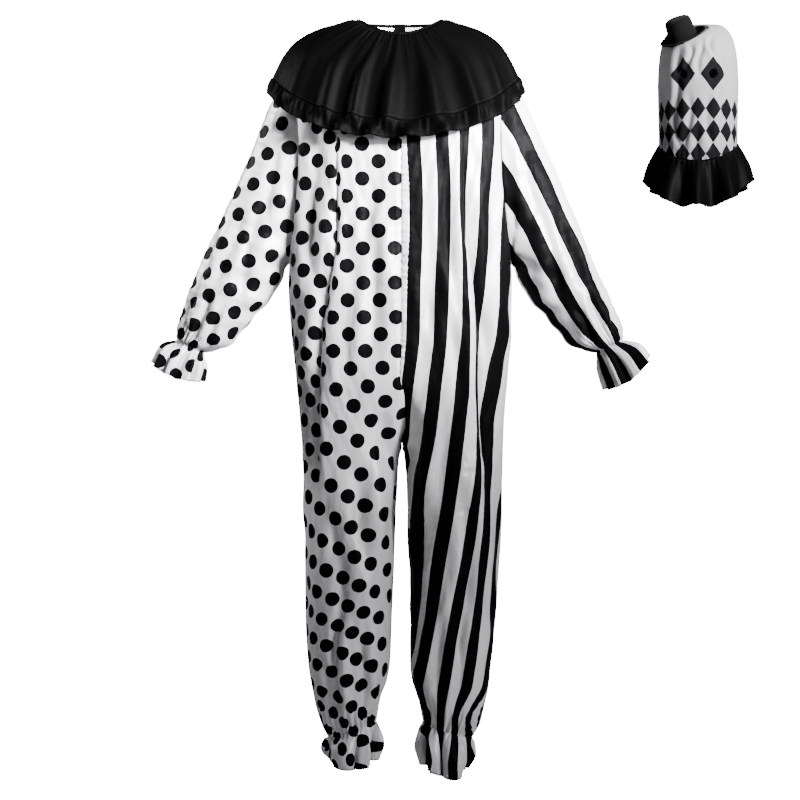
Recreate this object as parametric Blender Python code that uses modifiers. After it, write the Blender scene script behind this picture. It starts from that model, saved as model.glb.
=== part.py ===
"""Two-sided clown costume: a loose satin jumpsuit, dotted on one half and striped on the other, with a
gathered cape collar, and its hood mask with a little hat beside it.

Metres, +Z up. The origin is in the middle of the neck, at the height of the shoulders. The front
faces -Y, and the striped half is on +X. The cloth is hollow, as it hangs on a wearer.
"""

import math
from collections import namedtuple

import bmesh
import bpy
import numpy as np
from mathutils import Matrix, Vector

# Cloth and sewing
SATIN = 0.0015  # satin with its turned edges
KNIT = 0.0018  # hood jersey
ELASTIC = 0.0022  # neckband with its elastic
FELT = 0.0022  # hat
SEAM_GAP = 0.0003  # between two pieces that are sewn together

# How a row drops from its side to its front and back, as a power of the cosine
BODY_DROP = 2.2
HOOD_DROP = 1.2

# Columns of a body panel: centre to crease, across the crease, crease to side roll, and the roll
CENTRE_COLUMNS = 3
CREASE_COLUMNS = 2
SIDE_COLUMNS = 3
CREASE_HALF_WIDTH = 0.010

# Armhole: an upright oval that the body's rows end on
ARMHOLE_ROWS = 10
SHOULDER_TIP = (0.200, -0.036)  # x, z
UNDERARM = (0.2215, -0.454)
ARMHOLE_HALF_DEPTH = 0.060
ARMHOLE_ROLL = 0.011  # the seam lies this much inside the body's side roll
ROLL_LEAD = 0.013  # the roll starts this far in front of the seam

Yoke = namedtuple("Yoke", "width front back z_side z_front z_back square")
YOKE = [
    Yoke(0.084, 0.066, 0.060, 0.0205, -0.0165, 0.0245, 2.1),
    Yoke(0.120, 0.084, 0.072, 0.008, -0.042, 0.006, 2.1),
    Yoke(0.162, 0.100, 0.086, -0.012, -0.070, -0.024, 2.2),
    Yoke(SHOULDER_TIP[0], 0.110, 0.098, SHOULDER_TIP[1], -0.100, -0.060, 2.3),
]

Torso = namedtuple("Torso", "z dotted striped front back square")
TORSO = [
    Torso(-0.036, 0.200, 0.200, 0.108, 0.096, 2.3),
    Torso(-0.120, 0.214, 0.209, 0.115, 0.104, 2.7),
    Torso(-0.250, 0.217, 0.215, 0.121, 0.107, 2.9),
    Torso(-0.380, 0.219, 0.219, 0.124, 0.108, 2.9),
    Torso(-0.454, UNDERARM[0], UNDERARM[0], 0.125, 0.108, 2.8),
    Torso(-0.498, 0.223, 0.224, 0.125, 0.109, 2.7),
    Torso(-0.588, 0.218, 0.222, 0.123, 0.111, 2.6),
    Torso(-0.678, 0.208, 0.216, 0.120, 0.113, 2.5),
    Torso(-0.768, 0.200, 0.208, 0.117, 0.115, 2.4),
    Torso(-0.870, 0.193, 0.205, 0.113, 0.114, 2.3),
    Torso(-0.960, 0.192, 0.204, 0.109, 0.110, 2.2),
]
TORSO_ROWS = 7  # from the underarm to the top of the crotch curve
CROTCH_TOP = -0.800
CROTCH_POINT = -0.876
CROTCH_ROWS = 5
FORK_TOP = -0.700  # the rows turn from the torso's shape into the legs' between these heights
FORK_END = -0.960
FORK_REACH = 0.16  # how far round a row the crotch seam draws it in
LEG_ROWS = slice(len(YOKE) + ARMHOLE_ROWS - 1 + TORSO_ROWS + CROTCH_ROWS, None)

# tilt: how much lower the row is at the outer side. turn: the inseam's share of a turn to the front
Leg = namedtuple("Leg", "z in_dotted in_striped out_dotted out_striped depth tilt turn")
LEG = [
    Leg(-0.700, 0.0004, 0.0004, 0.203, 0.212, 0.108, 0.000, 0.000),
    Leg(-0.876, 0.0004, 0.0004, 0.193, 0.204, 0.101, 0.000, 0.000),
    Leg(-0.900, 0.0050, 0.0100, 0.194, 0.204, 0.099, 0.000, 0.010),
    Leg(-0.948, 0.0080, 0.0140, 0.194, 0.204, 0.096, 0.000, 0.030),
    Leg(-1.008, 0.0100, 0.0160, 0.190, 0.202, 0.092, 0.000, 0.060),
    Leg(-1.080, 0.0125, 0.0185, 0.190, 0.197, 0.089, 0.000, 0.080),
    Leg(-1.165, 0.0160, 0.0200, 0.189, 0.191, 0.084, 0.000, 0.058),
    Leg(-1.248, 0.0190, 0.0210, 0.184, 0.182, 0.079, 0.004, 0.035),
    Leg(-1.295, 0.0260, 0.0270, 0.176, 0.177, 0.073, 0.012, 0.030),
    Leg(-1.330, 0.0390, 0.0360, 0.167, 0.168, 0.065, 0.020, 0.030),
    Leg(-1.360, 0.0460, 0.0430, 0.155, 0.158, 0.053, 0.028, 0.030),
    Leg(-1.384, 0.0500, 0.0480, 0.140, 0.142, 0.041, 0.034, 0.030),
]
LEG_SQUARE = 2.2
ANKLE_PLEAT = 0.0022  # gathers at the ankle's elastic, out and in

# The long crease down each half: where it lies and how deep it is
Crease = namedtuple("Crease", "z dotted striped depth")
CREASES = [
    Crease(-0.100, 0.118, 0.120, 0.000),
    Crease(-0.200, 0.124, 0.128, 0.003),
    Crease(-0.300, 0.126, 0.130, 0.009),
    Crease(-0.400, 0.128, 0.134, 0.011),
    Crease(-0.500, 0.140, 0.148, 0.011),
    Crease(-0.600, 0.158, 0.157, 0.011),
    Crease(-0.700, 0.163, 0.160, 0.010),
    Crease(-0.820, 0.165, 0.166, 0.008),
    Crease(-0.900, 0.166, 0.172, 0.006),
    Crease(-1.000, 0.160, 0.164, 0.002),
    Crease(-1.100, 0.152, 0.158, 0.000),
    Crease(-1.400, 0.110, 0.115, 0.000),
]
BACK_CREASE = 0.8  # the back's creases, as a share of the front's

# Sleeve: each ring runs from a point of its outer edge to one of its inner edge
Sleeve = namedtuple("Sleeve", "out_dotted out_striped z_out inner z_in depth")
SLEEVE = [
    Sleeve(0.224, 0.220, -0.062, 0.2245, -0.463, 0.0600),
    Sleeve(0.247, 0.240, -0.110, 0.229, -0.472, 0.0600),
    Sleeve(0.272, 0.266, -0.166, 0.234, -0.482, 0.0600),
    Sleeve(0.289, 0.285, -0.212, 0.239, -0.491, 0.0600),
    Sleeve(0.313, 0.311, -0.268, 0.247, -0.504, 0.0605),
    Sleeve(0.338, 0.334, -0.325, 0.257, -0.519, 0.0610),
    Sleeve(0.363, 0.358, -0.378, 0.269, -0.535, 0.0620),
    Sleeve(0.392, 0.381, -0.438, 0.284, -0.556, 0.0620),
    Sleeve(0.417, 0.408, -0.498, 0.304, -0.581, 0.0600),
    Sleeve(0.435, 0.431, -0.548, 0.328, -0.604, 0.0550),
    Sleeve(0.444, 0.443, -0.582, 0.354, -0.622, 0.0480),
    Sleeve(0.445, 0.444, -0.600, 0.378, -0.633, 0.0390),
    Sleeve(0.441, 0.440, -0.609, 0.393, -0.634, 0.0300),
]
WRIST_PLEAT = 0.0018

# Ruffles below the elastics: rings from the gather, a seam gap below the sleeve's or leg's end, to the hem
Ruffle = namedtuple("Ruffle", "out z_out inner z_in depth wave")
WRIST_RUFFLES = {
    "dotted": [
        Ruffle(0.4411, -0.6093, 0.3931, -0.6343, 0.0300, 0.0016),
        Ruffle(0.4710, -0.6190, 0.3920, -0.6600, 0.0400, 0.0040),
        Ruffle(0.4880, -0.6530, 0.3980, -0.6870, 0.0480, 0.0065),
    ],
    "striped": [
        Ruffle(0.4401, -0.6093, 0.3931, -0.6343, 0.0300, 0.0016),
        Ruffle(0.4730, -0.6190, 0.4000, -0.6660, 0.0400, 0.0040),
        Ruffle(0.4920, -0.6430, 0.4140, -0.7030, 0.0480, 0.0065),
    ],
}
ANKLE_RUFFLES = {
    "dotted": [
        Ruffle(0.1400, -1.4013, 0.0500, -1.3673, 0.0410, 0.0020),
        Ruffle(0.1450, -1.4130, 0.0420, -1.3880, 0.0500, 0.0040),
        Ruffle(0.1480, -1.4280, 0.0390, -1.4120, 0.0550, 0.0060),
        Ruffle(0.1490, -1.4480, 0.0380, -1.4420, 0.0580, 0.0075),
    ],
    "striped": [
        Ruffle(0.1420, -1.4013, 0.0480, -1.3673, 0.0410, 0.0020),
        Ruffle(0.1460, -1.4180, 0.0400, -1.3900, 0.0500, 0.0040),
        Ruffle(0.1470, -1.4400, 0.0370, -1.4200, 0.0550, 0.0060),
        Ruffle(0.1450, -1.4700, 0.0400, -1.4560, 0.0580, 0.0075),
    ],
}
WRIST_WAVES = 10
ANKLE_WAVES = 12
POINTS_A_WAVE = 4
HEM_SAG = 0.014  # a ruffle's hem hangs lower at its front and back

# Collar: rings over the shoulders, from the neckband to the flounce's hem
Ring = namedtuple("Ring", "width front back z_side z_front z_back drop wave")
NECKBAND = [
    Ring(0.0855, 0.0675, 0.0615, 0.0212, -0.0158, 0.0252, 2.2, 0.0),
    Ring(0.0860, 0.0680, 0.0620, 0.0322, -0.0048, 0.0362, 2.2, 0.0),
]
COLLAR = [
    Ring(0.0875, 0.0695, 0.0635, 0.0262, -0.0108, 0.0302, 2.2, 0.0006),
    Ring(0.1220, 0.0890, 0.0800, 0.0220, -0.0320, 0.0180, 2.2, 0.0025),
    Ring(0.1620, 0.1080, 0.0990, 0.0090, -0.0660, -0.0150, 2.1, 0.0045),
    Ring(0.2050, 0.1260, 0.1170, -0.0170, -0.1050, -0.0600, 1.9, 0.0060),
    Ring(0.2290, 0.1400, 0.1300, -0.0470, -0.1480, -0.1050, 1.6, 0.0080),
    Ring(0.2460, 0.1500, 0.1390, -0.0800, -0.1875, -0.1450, 1.35, 0.0095),
]
FLOUNCE = [
    Ring(0.2463, 0.1502, 0.1392, -0.0803, -0.1879, -0.1454, 1.35, 0.0095),
    Ring(0.2530, 0.1550, 0.1440, -0.0930, -0.2060, -0.1640, 1.3, 0.0080),
    Ring(0.2570, 0.1590, 0.1480, -0.1070, -0.2235, -0.1830, 1.2, 0.0080),
]
COLLAR_COLUMNS = 96
BAND_COLUMNS = 48
COLLAR_WAVES = 19
FLOUNCE_WAVES = 24
COLLAR_SHIFT = -0.008  # the collar's edge sits this much towards the dotted side
COLLAR_SQUARE = 2.1
SIDE_WAVE = 0.4  # waves over the shoulders, as a share of those in front
BACK_SLIT = 0.0008  # half of the opening down the collar's back
TAB_WIDTH = 0.022
TAB_HEIGHT = 0.026
TAB_CLEARANCE = 0.0024  # behind the neckband, so that it hangs clear of the jumpsuit's neck edge

# Front closure: a strip from the collar down, over both halves. Its width on the striped one tapers
PLACKET_DOTTED = 0.004  # width on the dotted half
PLACKET_STRIPED = 0.019
PLACKET_FOOT = 0.004  # on the striped half at its lower end
PLACKET_TAPER = 0.45  # share of its length that tapers
PLACKET_ROWS = (3, 18)  # first and last of the body's rows that it lies on

# Hood mask, beside the collar: shaped round its own upright axis, then stood in its place
HOOD_CENTRE = (0.596, 0.0)  # x, y
HOOD_TURN = math.radians(-9)
Hood = namedtuple("Hood", "z width front back dip")
HOOD = [
    Hood(0.0225, 0.034, 0.0, 0.0, 0.000),
    Hood(0.0180, 0.048, 0.028, 0.030, 0.000),
    Hood(0.0060, 0.061, 0.055, 0.058, 0.000),
    Hood(-0.0180, 0.072, 0.077, 0.080, 0.000),
    Hood(-0.0560, 0.078, 0.090, 0.092, 0.003),
    Hood(-0.1000, 0.080, 0.093, 0.095, 0.010),
    Hood(-0.1500, 0.079, 0.090, 0.092, 0.020),
    Hood(-0.1900, 0.078, 0.086, 0.088, 0.032),
    Hood(-0.2160, 0.077, 0.083, 0.085, 0.042),
]
HOOD_COLUMNS = 16
HOOD_SQUARE = 2.2
HOOD_FLOUNCE = [
    Ring(0.0773, 0.0833, 0.0853, -0.2165, -0.2585, -0.2300, 1.2, 0.0015),
    Ring(0.0860, 0.0900, 0.0920, -0.2360, -0.2820, -0.2550, 1.2, 0.0060),
    Ring(0.0950, 0.0980, 0.1000, -0.2610, -0.3150, -0.2880, 1.2, 0.0100),
    Ring(0.1010, 0.1050, 0.1060, -0.2910, -0.3510, -0.3250, 1.2, 0.0130),
]
HOOD_WAVES = 9
HOOD_WAVE_POINTS = 5
EYES = {"left": -0.029, "right": 0.029}  # how far each is from the hood's middle
EYE_Z = -0.0905
EYE_WIDTH = 0.0155
EYE_HEIGHT = 0.019

# Hat: turned round its own axis, then seated on the hood, whose cloth gives way under it
HAT_STEPS = 20
HAT_SEAT = (-0.027, -0.064, -0.0195)  # the middle of the brim's underside, from the hood's axis
HAT_LEAN = math.radians(-21)
HAT_NOD = math.radians(24)
PRESS_REACH = 0.054  # the cloth is flat this far round the hat's axis
PRESS_SLOPE = 0.6  # how steeply it rises again beyond
BRIM_RADIUS = 0.0465
BRIM_HOLE = 0.021
CROWN_PROFILE = [(0.0245, 0.0), (0.0235, 0.017), (0.0222, 0.029), (0.0185, 0.036), (0.0, 0.0388)]
BRIM_CURL = 0.0045


def along(table, column, z):
    """A named column of a table at heights z: a smooth curve through the table's rows."""
    heights = np.array([row.z for row in table])
    values = np.array([getattr(row, column) for row in table])
    return smooth(-heights, values, -np.asarray(z, float))


def smooth(places, values, at):
    """A curve through values at rising places that doesn't swing past them (monotone cubic)."""
    step = np.diff(places)
    rise = np.diff(values) / step
    slope = np.zeros(len(values))
    before, after = rise[:-1], rise[1:]
    slope[1:-1] = np.where(before * after > 0, 2 * before * after / (before + after + 1e-12), 0)
    slope[0], slope[-1] = rise[0], rise[-1]
    index = np.clip(np.searchsorted(places, at) - 1, 0, len(step) - 1)
    u = np.clip((at - places[index]) / step[index], 0, 1)
    start = values[index] * (1 + 2 * u) * (1 - u) ** 2 + values[index + 1] * u * u * (3 - 2 * u)
    return start + step[index] * u * (1 - u) * (slope[index] * (1 - u) - slope[index + 1] * u)


def unit(vectors):
    return vectors / np.maximum(np.linalg.norm(vectors, axis=-1, keepdims=True), 1e-12)


def signed_power(values, power):
    return np.sign(values) * np.abs(values) ** power


def outward(points, closed=False):
    """Unit normals of a grid of points, rows by columns, away from the middle of its rows."""
    if closed:
        across = np.roll(points, -1, axis=1) - np.roll(points, 1, axis=1)
    else:
        across = np.gradient(points, axis=1)
    normals = unit(np.cross(across, np.gradient(points, axis=0)))
    from_middle = points - points.mean(axis=1, keepdims=True)
    return normals if (normals * from_middle).sum() > 0 else -normals


def share(first, second):
    """Two pieces' normals along their seam, made one where the cloth runs on smoothly."""
    joined = unit(first + second)
    smooth_here = (first * second).sum(axis=-1, keepdims=True) > 0.2
    return np.where(smooth_here, joined, first), np.where(smooth_here, joined, second)


def drawn_in(points, edge, neighbour):
    """Moves a grid's edge column half a seam gap towards its neighbour column."""
    points[:, edge] += unit(points[:, neighbour] - points[:, edge]) * SEAM_GAP / 2


def finish(name, colour, roughness):
    material = bpy.data.materials.new(name)
    material.use_nodes = True
    shader = material.node_tree.nodes["Principled BSDF"]
    shader.inputs["Base Color"].default_value = (*colour, 1)
    shader.inputs["Roughness"].default_value = roughness
    shader.inputs["Metallic"].default_value = 0
    return material


def place(name, mesh, material, stand=None):
    """One sub-part: an object of the costume's collection, on its stand if it has one."""
    mesh.materials.append(material)
    piece = bpy.data.objects.new(name, mesh)
    piece.parent = stand
    costume.objects.link(piece)
    return piece


def cloth_wall(name, outer, normals, material, wall=SATIN, closed=False, stand=None):
    """A closed wall of cloth: the outer side is a grid of points, and the inner side is a wall behind it."""
    rows, columns = outer.shape[:2]
    points = np.concatenate([outer.reshape(-1, 3), (outer - normals * wall).reshape(-1, 3)])
    inner = rows * columns
    spans = columns if closed else columns - 1
    faces = []
    for row in range(rows - 1):
        for column in range(spans):
            beside = (column + 1) % columns
            a, b = row * columns + column, row * columns + beside
            c, d = a + columns, b + columns
            faces += [(a, b, d, c), (a + inner, c + inner, d + inner, b + inner)]
    for row in (0, rows - 1):
        for column in range(spans):
            a, b = row * columns + column, row * columns + (column + 1) % columns
            faces.append((a, b, b + inner, a + inner))
    if not closed:
        for row in range(rows - 1):
            for column in (0, columns - 1):
                a = row * columns + column
                faces.append((a, a + columns, a + columns + inner, a + inner))
    mesh = bpy.data.meshes.new(name)
    mesh.from_pydata([tuple(point) for point in points], [], faces)
    shell = bmesh.new()
    shell.from_mesh(mesh)
    bmesh.ops.recalc_face_normals(shell, faces=shell.faces)
    shell.to_mesh(mesh)
    shell.free()
    mesh.shade_smooth()
    return place(name, mesh, material, stand)


def half_ring(width, front, back, square, z_side, z_front, z_back, t):
    """Half of a ring round the body: t is 0 at the front's middle, 0.5 at the side, 1 at the back's."""
    sine, cosine = np.sin(math.pi * t), np.cos(math.pi * t)
    depth = np.where(cosine > 0, front, back)
    z_end = np.where(cosine > 0, z_front, z_back)
    x = width * np.abs(sine) ** (2 / square)
    y = -depth * signed_power(cosine, 2 / square)
    return np.stack([x, y, z_side + (z_end - z_side) * np.abs(cosine) ** BODY_DROP], axis=-1)


def leg_ring(half, z, t):
    """The ring round one leg: t is 0 and 1 at the inseam, 0.25 in front, 0.5 at the outer side."""
    inner, outer = along(LEG, "in_" + half, z), along(LEG, "out_" + half, z)
    depth, tilt = along(LEG, "depth", z), along(LEG, "tilt", z)
    turn = along(LEG, "turn", z) if half == "striped" else 0
    angle = 2 * math.pi * (t + turn * np.cos(math.pi * t) ** 2)
    lean = -signed_power(np.cos(angle), 2 / LEG_SQUARE)
    x = (inner + outer) / 2 + lean * (outer - inner) / 2
    y = -depth * signed_power(np.sin(angle), 2 / LEG_SQUARE)
    return np.stack([x, y, z - lean * tilt / 2], axis=-1)


def armhole(turn):
    """A point of the armhole, x out from the middle: turn is 0 at the shoulder, 0.5 at the underarm."""
    angle = 2 * math.pi * turn
    down = (1 - np.cos(angle)) / 2
    x = SHOULDER_TIP[0] + (UNDERARM[0] - SHOULDER_TIP[0]) * down - ARMHOLE_ROLL * np.sin(angle) ** 2
    z = SHOULDER_TIP[1] + (UNDERARM[1] - SHOULDER_TIP[1]) * down
    return np.stack([x, -ARMHOLE_HALF_DEPTH * np.sin(angle), z], axis=-1)


def body_rows():
    """Each row of the body as a curve of t for one half, with the armhole's turn where it ends there."""
    rows = []
    for yoke in YOKE:
        rows.append((lambda half, t, y=yoke: half_ring(
            y.width, y.front, y.back, y.square, y.z_side, y.z_front, y.z_back, t), None))
    tip = YOKE[-1]
    for step in range(1, ARMHOLE_ROWS):
        turn = step / ARMHOLE_ROWS / 2
        z_side = float(armhole(turn)[2])
        z_front = tip.z_front + (UNDERARM[1] - tip.z_front) * step / ARMHOLE_ROWS
        z_back = tip.z_back + (UNDERARM[1] - tip.z_back) * step / ARMHOLE_ROWS
        rows.append((lambda half, t, z=(z_side, z_front, z_back): torso_ring(half, t, *z), turn))
    for z in np.linspace(UNDERARM[1], CROTCH_TOP, TORSO_ROWS, endpoint=False):
        rows.append((lambda half, t, z=z: fork_ring(half, t, z, 1), None))
    for step in range(CROTCH_ROWS):
        angle = step / CROTCH_ROWS * math.pi / 2
        z = CROTCH_TOP + (CROTCH_POINT - CROTCH_TOP) * math.sin(angle)
        rows.append((lambda half, t, z=z, apart=math.cos(angle): fork_ring(half, t, z, apart), None))
    for leg in LEG[1:]:
        rows.append((lambda half, t, z=leg.z: fork_ring(half, t, z, 0), None))
    return rows


def fork_ring(half, t, z, apart):
    """A level row where the torso turns into a leg. Its two ends lie on the crotch seam: apart is 1 on the
    torso's middle, and 0 where they meet at the inseam."""
    way = float(np.clip((FORK_TOP - z) / (FORK_TOP - FORK_END), 0, 1))
    leg_share = way * way * (3 - 2 * way)

    def blend(at, share_of_leg):
        return (1 - share_of_leg) * torso_ring(half, at, z, z, z) + share_of_leg * leg_ring(half, z, at)

    row = blend(t, leg_share)
    for end in (0.0, 1.0):
        at_end = np.array([end])
        near_end = np.clip(1 - np.abs(t - end) / FORK_REACH, 0, 1)[:, None] ** 2
        row += near_end * (blend(at_end, 1 - apart) - blend(at_end, leg_share))
    return row


def torso_ring(half, t, z_side, z_front, z_back):
    front, back = along(TORSO, "front", z_front), along(TORSO, "back", z_back)
    width, square = along(TORSO, half, z_side), along(TORSO, "square", z_side)
    return half_ring(width, front, back, square, z_side, z_front, z_back, t)


def panel_row(half, curve, turn, back):
    """A panel's points along one row, from its middle edge to its side edge, and its crease's depth."""
    t = np.linspace(0, 0.5, 200)
    points = curve(half, 1 - t if back else t)
    middle = np.linspace(0, 1, CENTRE_COLUMNS, endpoint=False)
    crease_x = along(CREASES, half, points[0, 2])
    roll = 0.5 - 0.5 / (CENTRE_COLUMNS + CREASE_COLUMNS + SIDE_COLUMNS + 2)
    if turn is not None:
        seam = armhole(1 - turn if back else turn)
        in_front = np.abs(points[:, 1]) > abs(seam[1])
        apart = np.linalg.norm(points - seam, axis=1) > ROLL_LEAD
        roll = t[in_front & apart][-1]
    start, end = np.interp([crease_x - CREASE_HALF_WIDTH, crease_x + CREASE_HALF_WIDTH], points[:, 0], t)
    start, end = min(start, roll * 0.80), min(end, roll * 0.88)
    across = np.linspace(start, end, CREASE_COLUMNS, endpoint=False)
    side = np.linspace(end, roll, SIDE_COLUMNS + 1)
    stops = np.concatenate([middle * start, across, side, [0.5]])
    row = curve(half, 1 - stops if back else stops)
    if turn is not None:
        row[-1] = seam
    return row


def body_panel(half, back):
    return np.array([panel_row(half, curve, turn, back) for curve, turn in body_rows()])


def share_sides(front_normals, back_normals):
    """Makes the normals of one half's two panels one along their seams with each other."""
    sewn = np.ones(len(front_normals), bool)
    sewn[len(YOKE): len(YOKE) + ARMHOLE_ROWS - 1] = False
    front_normals[sewn, -1], back_normals[sewn, -1] = share(front_normals[sewn, -1], back_normals[sewn, -1])
    front_normals[LEG_ROWS, 0], back_normals[LEG_ROWS, 0] = share(
        front_normals[LEG_ROWS, 0], back_normals[LEG_ROWS, 0])


def fold(panel, normals, back):
    """Presses the long crease into a panel, and the gathers above the ankle's elastic."""
    crease = CENTRE_COLUMNS + CREASE_COLUMNS // 2
    depth = along(CREASES, "depth", panel[:, crease, 2]) * (BACK_CREASE if back else 1)
    panel[:, crease] -= normals[:, crease] * depth[:, None]
    gather(panel, normals, ANKLE_PLEAT)
    panel[..., 0] = np.maximum(panel[..., 0], SEAM_GAP / 2)


def gather(rows, normals, pleat):
    """Pleats that grow over the last rows before an elastic, within the last row's plane."""
    flatten(rows[-1], normals[-1])
    pleats = np.where(np.arange(rows.shape[1]) % 2, pleat, -pleat)[:, None]
    for row, share_of_pleat in ((-1, 1.0), (-2, 0.7), (-3, 0.3)):
        rows[row] += normals[row] * pleats * share_of_pleat


def flatten(ring, normals):
    """Turns the normals of a ring's points into the ring's own plane, where it meets another piece."""
    quarter = len(ring) // 4
    axis = unit(np.cross(ring[quarter] - ring[0], ring[2 * quarter] - ring[0]))
    normals -= (normals @ axis)[:, None] * axis
    normals /= np.linalg.norm(normals, axis=1, keepdims=True)


def make_half(half, side, material):
    """One half of the jumpsuit: its front and back panels and its sleeve, with their seams matched."""
    front, back = (body_panel(half, is_back) for is_back in (False, True))
    front_normals, back_normals = outward(front), outward(back)
    share_sides(front_normals, back_normals)
    fold(front, front_normals, False)
    fold(back, back_normals, True)
    sleeve = sleeve_rings(half)
    front_normals, back_normals, sleeve_normals = outward(front), outward(back), outward(sleeve, closed=True)
    share_sides(front_normals, back_normals)
    for panel, normals in ((front, front_normals), (back, back_normals)):
        flatten(panel[-1], normals[-1])
        mirrored = normals[:LEG_ROWS.start, 0] * np.array([-1, 1, 1])
        normals[:LEG_ROWS.start, 0] = share(normals[:LEG_ROWS.start, 0], mirrored)[0]
    edge = slice(len(YOKE) - 1, len(YOKE) + ARMHOLE_ROWS)
    count = ARMHOLE_ROWS + 1
    sleeve_front, front_normals[edge, -1] = share(sleeve_normals[0, :count], front_normals[edge, -1])
    sleeve_back, back_normals[edge, -1] = share(
        np.roll(sleeve_normals[0, ::-1], 1, axis=0)[:count], back_normals[edge, -1])
    sleeve_normals[0] = np.concatenate([sleeve_front, sleeve_back[-2:0:-1]])
    back_normals[edge, -1][[0, -1]] = front_normals[edge, -1][[0, -1]]
    sleeve[0] += unit(sleeve[1] - sleeve[0]) * SEAM_GAP
    flatten(sleeve[-1], sleeve_normals[-1])
    mirror = np.array([side, 1, 1])
    for panel, normals, name in ((front, front_normals, "front_"), (back, back_normals, "back_")):
        drawn_in(panel, -1, -2)
        drawn_in(panel, 0, 1)
        panel[:, 0, 0] = np.maximum(panel[:, 0, 0], SEAM_GAP / 2)
        cloth_wall(name + half, panel * mirror, normals * mirror, material)
    cloth_wall("sleeve_" + half, sleeve * mirror, sleeve_normals * mirror, material, closed=True)
    return front * mirror, front_normals * mirror


def oval(out, z_out, inner, z_in, depth, count):
    """A ring in the plane through its outer and its inner point, first point at the outer one."""
    turn = np.linspace(0, 2 * math.pi, count, endpoint=False)
    middle = np.array([(out + inner) / 2, 0, (z_out + z_in) / 2])
    reach = np.array([(out - inner) / 2, 0, (z_out - z_in) / 2])
    return middle + np.cos(turn)[:, None] * reach - np.sin(turn)[:, None] * np.array([0, depth, 0])


def sleeve_rings(half):
    """The sleeve from its armhole to its elastic, whose first ring is the body's armhole."""
    count = 2 * ARMHOLE_ROWS
    rings = [armhole(np.arange(count) / count)]
    for row in SLEEVE:
        out = row.out_dotted if half == "dotted" else row.out_striped
        rings.append(oval(out, row.z_out, row.inner, row.z_in, row.depth, count))
    tube = np.array(rings)
    gather(tube, outward(tube, closed=True), WRIST_PLEAT)
    return tube


def make_ruffle(name, rows, waves, side, material):
    """The flared end of a sleeve or a leg, below its elastic."""
    count = waves * POINTS_A_WAVE
    turn = np.arange(count) / count
    rings = np.array([oval(row.out, row.z_out, row.inner, row.z_in, row.depth, count) for row in rows])
    rings *= np.array([side, 1, 1])
    normals = outward(rings, closed=True)
    fall = unit(rings[-1].mean(axis=0) - rings[0].mean(axis=0))
    for index, row in enumerate(rows):
        wave = np.sin(2 * math.pi * waves * turn + 0.7 * np.sin(4 * math.pi * turn)) * row.wave
        sag = np.abs(np.sin(2 * math.pi * turn)) * HEM_SAG * index / (len(rows) - 1)
        if index == 0:
            flatten(rings[0], normals[0])
        rings[index] += normals[index] * wave[:, None] + fall * sag[:, None]
    normals = outward(rings, closed=True)
    flatten(rings[0], normals[0])
    cloth_wall(name, rings, normals, material, closed=True)


def full_ring(ring, angles, square, shift=0.0):
    """A ring round the neck: angle 0 is the front's middle, and it turns towards +X."""
    sine, cosine = np.sin(angles), np.cos(angles)
    depth = np.where(cosine > 0, ring.front, ring.back)
    z_end = np.where(cosine > 0, ring.z_front, ring.z_back)
    x = ring.width * signed_power(sine, 2 / square) + shift
    y = -depth * signed_power(cosine, 2 / square)
    return np.stack([x, y, ring.z_side + (z_end - ring.z_side) * np.abs(cosine) ** ring.drop], axis=-1)


def uneven_wave(angles, waves):
    """Gathers that differ in width and height, as cloth falls."""
    return np.cos(waves * angles + 0.9 * np.sin(3 * angles + 0.4)) * (1 + 0.3 * np.sin(2 * angles + 1.1))


def slit_angles(row, columns):
    """Angles round a ring from one edge of the opening behind to the other."""
    reach = math.pi - BACK_SLIT / row.back
    return np.linspace(-reach, reach, columns + 1)


def collar_rings(rows, waves, shifts):
    angles = np.array([slit_angles(row, COLLAR_COLUMNS) for row in rows])
    rings = np.array([full_ring(*ring, COLLAR_SQUARE, shift) for *ring, shift in zip(rows, angles, shifts)])
    heights = np.array([row.wave * uneven_wave(turn, count) for row, turn, count in zip(rows, angles, waves)])
    heights *= SIDE_WAVE + (1 - SIDE_WAVE) * np.abs(np.cos(angles))
    return rings + outward(rings) * heights[..., None]


def make_collar(black):
    """The gathered cape collar, its flounce, the neckband and the tab that closes it behind."""
    shifts = COLLAR_SHIFT * np.sin(np.linspace(0, math.pi / 2, len(COLLAR)))
    collar = collar_rings(COLLAR, [COLLAR_WAVES] * len(COLLAR), shifts)
    flounce_waves = [COLLAR_WAVES] + [FLOUNCE_WAVES] * (len(FLOUNCE) - 1)
    flounce = collar_rings(FLOUNCE, flounce_waves, [COLLAR_SHIFT] * len(FLOUNCE))
    flounce[0] = collar[-1] + unit(flounce[1] - collar[-1]) * SEAM_GAP
    collar_normals, flounce_normals = outward(collar), outward(flounce)
    collar_normals[-1], flounce_normals[0] = share(collar_normals[-1], flounce_normals[0])
    cloth_wall("collar", collar, collar_normals, black)
    cloth_wall("collar_flounce", flounce, flounce_normals, black)
    band = np.array([full_ring(row, slit_angles(row, BAND_COLUMNS), COLLAR_SQUARE) for row in NECKBAND])
    cloth_wall("neckband", band, outward(band), black, wall=ELASTIC)
    top = NECKBAND[-1]
    tab_y = top.back - ELASTIC - TAB_CLEARANCE
    rows = np.array([[(x, tab_y, z) for x in (-TAB_WIDTH / 2, 0, TAB_WIDTH / 2)]
                     for z in (top.z_back, top.z_back - TAB_HEIGHT)])
    cloth_wall("neck_tab", rows, np.broadcast_to([0.0, 1.0, 0.0], rows.shape), black)


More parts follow.
